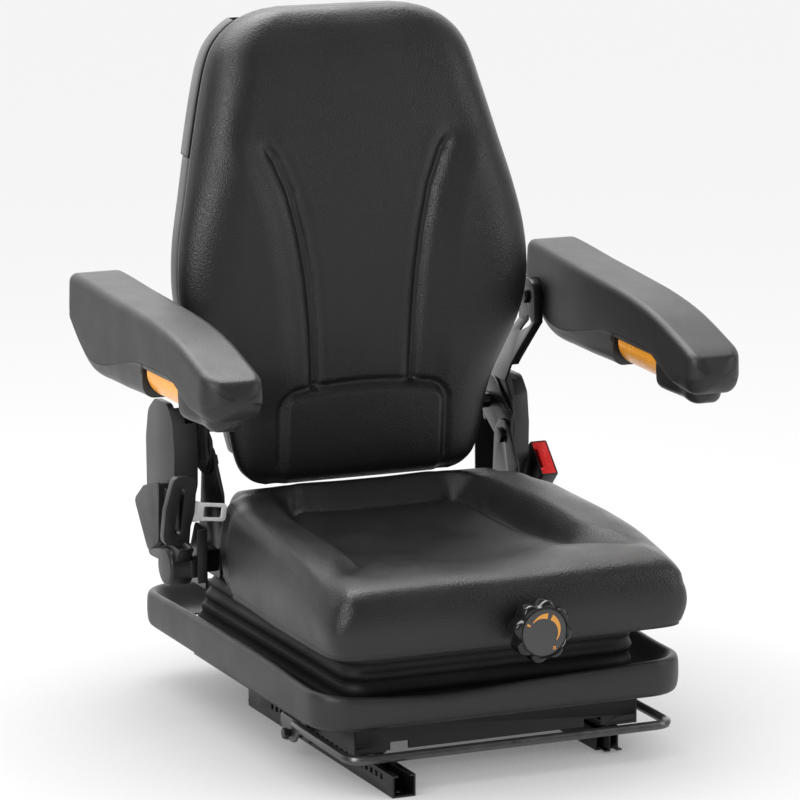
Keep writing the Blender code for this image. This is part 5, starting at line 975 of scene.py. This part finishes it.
def round_off(gap, radius):
    """How far a quarter-round corner steps in at this gap from its end."""
    if gap >= radius:
        return 0.0
    part = 1.0 - max(0.0, gap) / radius
    return radius * (1.0 - math.sqrt(max(0.0, 1.0 - part * part)))


def round_corner(radius, side, front):
    """How far a rounded rim steps back where it is this near to its side and to its front, from 0 to 1."""
    return radius * (1.0 - math.sqrt(max(0.0, 1.0 - min(1.0, math.hypot(side, front)) ** 2)))


def arm_grid(across_count, up_count, places, rule):
    """A grid block shaped by a rule for each point: across, along Y, at an end or not, and up."""
    shape = grid_block((across_count, len(places) - 2, up_count))
    for vert in shape.verts:
        row = round((vert.co.y + 1.0) / 2 * (len(places) - 1))
        across = math.copysign(1.0 - (1.0 - abs(vert.co.x)) ** 1.5, vert.co.x)
        vert.co = rule(across, places[row], row in (0, len(places) - 1), vert.co.z)
    return shape


def pad_rule(across, y, at_end, c):
    """The foam pad: flat top with a rounded rim, and a nose that rounds under towards the shell."""
    front_corner = 0.034 if across > 0.0 else 0.024
    half = arm_half - round_off(y - arm_from, front_corner) - round_off(arm_to - y, 0.020)
    top = read_table(arm_top, y)
    nose = ease(0.106, 0.040, y - arm_from)
    low_side = nose * max(0.0, 1.0 - half * (1.0 - abs(across)) / nose_corner)
    low_front = max(0.0, 1.0 - (y - arm_from) / 0.024)
    under = read_table(arm_part, y) + 0.0003 + round_corner(nose_corner, low_side, low_front)
    up = (c + 1.0) / 2
    side = max(0.0, 1.0 - half * (1.0 - abs(across)) / top_corner)
    front = max(0.0, 1.0 - (y - arm_from) / top_corner, 1.0 - (arm_to - y) / top_corner)
    x = across * (half - 0.0012 * up - 0.0012 * (1.0 - up) ** 8)
    if c < -0.9999:
        z = under
        if opening_from < y < opening_to and abs(across) * half < channel - 0.0004:
            z = roller_height + math.sqrt(channel ** 2 - (across * half) ** 2)
            z = max(z, under)
        return (x, y, z)
    if abs(across) > 0.9999 or at_end:
        wall_top = top - top_corner
        return (x, y, under + (wall_top - under) * up)
    return (x, y, top - round_corner(top_corner, side, front))


def shell_rule(across, y, at_end, c):
    """The moulded shell below the pad: a rounded belly, cut through where the roller turns."""
    half = arm_half - 0.003 - round_off(y - shell_from, 0.022) - round_off(arm_to - y, 0.018)
    half -= 0.0110 * ease(-0.105, -0.155, y) - 0.0020 * ease(0.90, 0.97, (c + 1.0) / 2)
    top = read_table(arm_part, y)
    low = min(read_table(arm_bottom, y), top - 0.004)
    if opening_from < y < opening_to:
        low = opening_top
    up = (c + 1.0) / 2
    belly = min(0.0170, (top - low) * 0.8)
    x = across * half
    if c > 0.9999:
        return (x, y, top)
    if c < -0.9999:
        side = max(0.0, 1.0 - half * (1.0 - abs(across)) / belly)
        front = max(0.0, 1.0 - (y - shell_from) / belly)
        lift = 0.0 if opening_from < y < opening_to else round_corner(belly, side, front)
        return (x * (1.0 - 0.03 * abs(across)), y, low + lift)
    start = low if opening_from < y < opening_to else low + belly
    return (x * (1.0 - 0.03 * (1.0 - up) ** 2), y, start + (top - start) * up)


arm_foam = make_finish("armrest_foam", (0.013, 0.013, 0.0135), 0.47)
vary_finish(arm_foam, 0.05, 0.12, 0.04)
add_leather_grain(arm_foam, 0.0016, 0.0004, 0.35)
arm_plastic = speckled_finish(
    "armrest_shell_black", (0.016, 0.016, 0.0165), 0.38, (0.05, 0.12, 0.05), (0.0010, 0.0002, 0.15),
)
roller_orange = speckled_finish(
    "roller_orange", (0.93, 0.36, 0.018), 0.26, (0.02, 0.10, 0.04), (0.0016, 0.0002, 0.06),
)
arm_pivot = Vector((0.0, 0.244, 0.484))
# The armrest at +X leans 2.5 degrees about its pivot
for side, sign, tilt in (("left", -1.0, 0.0), ("right", 1.0, 2.5)):
    body = "armrest_" + side
    turn = Matrix.Rotation(math.radians(tilt), 4, "X")
    lean = Matrix.Translation(arm_pivot) @ turn @ Matrix.Translation(-arm_pivot)
    outwards = Matrix.Translation((sign * arm_middle, 0.0, 0.0))
    to_side = lean @ outwards @ Matrix.Diagonal((sign, 1.0, 1.0, 1.0))
    shape = arm_grid(34, 9, arm_stations(arm_from, arm_to), pad_rule)
    bmesh.ops.transform(shape, matrix=to_side, verts=shape.verts)
    bmesh.ops.recalc_face_normals(shape, faces=shape.faces)
    pad_mesh = mesh_from(shape, "armrest_pad_skin_" + side)
    place_piece(
        "armrest_pad_skin_" + side, pad_mesh, body, arm_foam, ("armrest_pad_" + side,),
    )
    pad_mesh.set_sharp_from_angle(angle=math.radians(42.0))
    shape = arm_grid(26, 9, arm_stations(shell_from, arm_to), shell_rule)
    hole = [
        face for face in shape.faces
        if abs(face.normal.z) > 0.5 and opening_from < face.calc_center_median().y < opening_to
        and abs(face.calc_center_median().x) < channel - 0.001
        and all(opening_from < vert.co.y < opening_to for vert in face.verts)
    ]
    bmesh.ops.delete(shape, geom=hole, context="FACES")
    rims = [edge for edge in shape.edges if edge.is_boundary]
    bmesh.ops.bridge_loops(shape, edges=rims)
    bmesh.ops.transform(shape, matrix=to_side, verts=shape.verts)
    bmesh.ops.recalc_face_normals(shape, faces=shape.faces)
    shell_mesh = mesh_from(shape, "armrest_shell_skin_" + side)
    place_piece(
        "armrest_shell_skin_" + side, shell_mesh, body, arm_plastic,
        ("armrest_shell_" + side,),
    )
    shell_mesh.set_sharp_from_angle(angle=math.radians(42.0))
    shape = bmesh.new()
    # Radius and Y of the roller and its spindle
    section = (
        (0.0, opening_from + 0.0003), (0.0048, opening_from + 0.0003), (0.0050, opening_from + 0.0006),
        (0.0050, roller_from), (0.0272, roller_from), (0.0288, roller_from + 0.0004),
        (0.0297, roller_from + 0.0013), (roller_radius, roller_from + 0.0028),
        (roller_radius, roller_to - 0.0028), (0.0297, roller_to - 0.0013), (0.0288, roller_to - 0.0004),
        (0.0272, roller_to), (0.0050, roller_to), (0.0050, opening_to - 0.0006),
        (0.0048, opening_to - 0.0003), (0.0, opening_to - 0.0003),
    )
    line = [shape.verts.new((0.0, y, roller_height + radius)) for radius, y in section]
    profile = [shape.edges.new(pair) for pair in zip(line[:-1], line[1:])]
    bmesh.ops.spin(
        shape, geom=line + profile, cent=(0.0, 0.0, roller_height), axis=(0.0, 1.0, 0.0), angle=math.tau,
        steps=72, use_merge=True,
    )
    bmesh.ops.remove_doubles(shape, verts=shape.verts, dist=0.00001)
    bmesh.ops.transform(shape, matrix=to_side, verts=shape.verts)
    bmesh.ops.recalc_face_normals(shape, faces=shape.faces)
    roller_mesh = mesh_from(shape, "tilt_roller_skin_" + side)
    place_piece(
        "tilt_roller_skin_" + side, roller_mesh, "roller_" + side, roller_orange,
        ("tilt_roller_" + side,),
    )
    roller_mesh.set_sharp_from_angle(angle=math.radians(50.0))

# Lap belt
# The retractor is a black moulded box on a folded steel bracket, with the cover of its spool below. The
# tongue has a moulded grip round a bright zinc-plated blade, and hangs on a short length of black webbing.
belt_plastic = speckled_finish(
    "belt_plastic", (0.006, 0.006, 0.0063), 0.40, (0.03, 0.15, 0.06), (0.0010, 0.0002, 0.14),
)
softened("belt_bracket", "seat_base", gloss_black_paint, 0.0005)
softened("belt_retractor", "seat_base", belt_plastic, 0.0012)
softened("belt_spool_cover", "seat_base", belt_plastic, 0.0008, 40.0)
softened("tongue_grip", "seat_base", belt_plastic, 0.0008)
blade_zinc = speckled_finish(
    "blade_zinc", (0.78, 0.78, 0.79), 0.36, (0.01, 0.06, 0.05), (0.0008, 0.0001, 0.08), 0.30,
)
softened("tongue_blade", "seat_base", blade_zinc, 0.0004)
weave = make_finish("belt_weave", (0.012, 0.012, 0.012), 0.72)
place = vary_finish(weave, 0.02, 0.2, 0.05)
ribs = weave.node_tree.nodes.new("ShaderNodeTexWave")
ribs.inputs["Scale"].default_value = 240.0
ribs.inputs["Distortion"].default_value = 1.2
ribs.bands_direction = "Y"
weave.node_tree.links.new(place.outputs["Object"], ribs.inputs["Vector"])
add_bump(weave, ribs.outputs["Fac"], 0.0004, 0.5)
softened("belt_webbing", "seat_base", weave, 0.0003)

# Buckle
# A black moulded housing on a steel stalk, with a red release button across its face. A bar stands out of
# the middle of the button, beside the slot that takes the tongue.
button_red = speckled_finish(
    "button_red", (0.86, 0.030, 0.028), 0.28, (0.02, 0.08, 0.04), (0.0009, 0.0002, 0.08),
)
softened("buckle_housing", "seat_base", belt_plastic, 0.0010)
softened("buckle_button", "buckle_button", button_red, 0.0007)
softened("buckle_stalk", "seat_base", satin_black_paint, 0.0004)
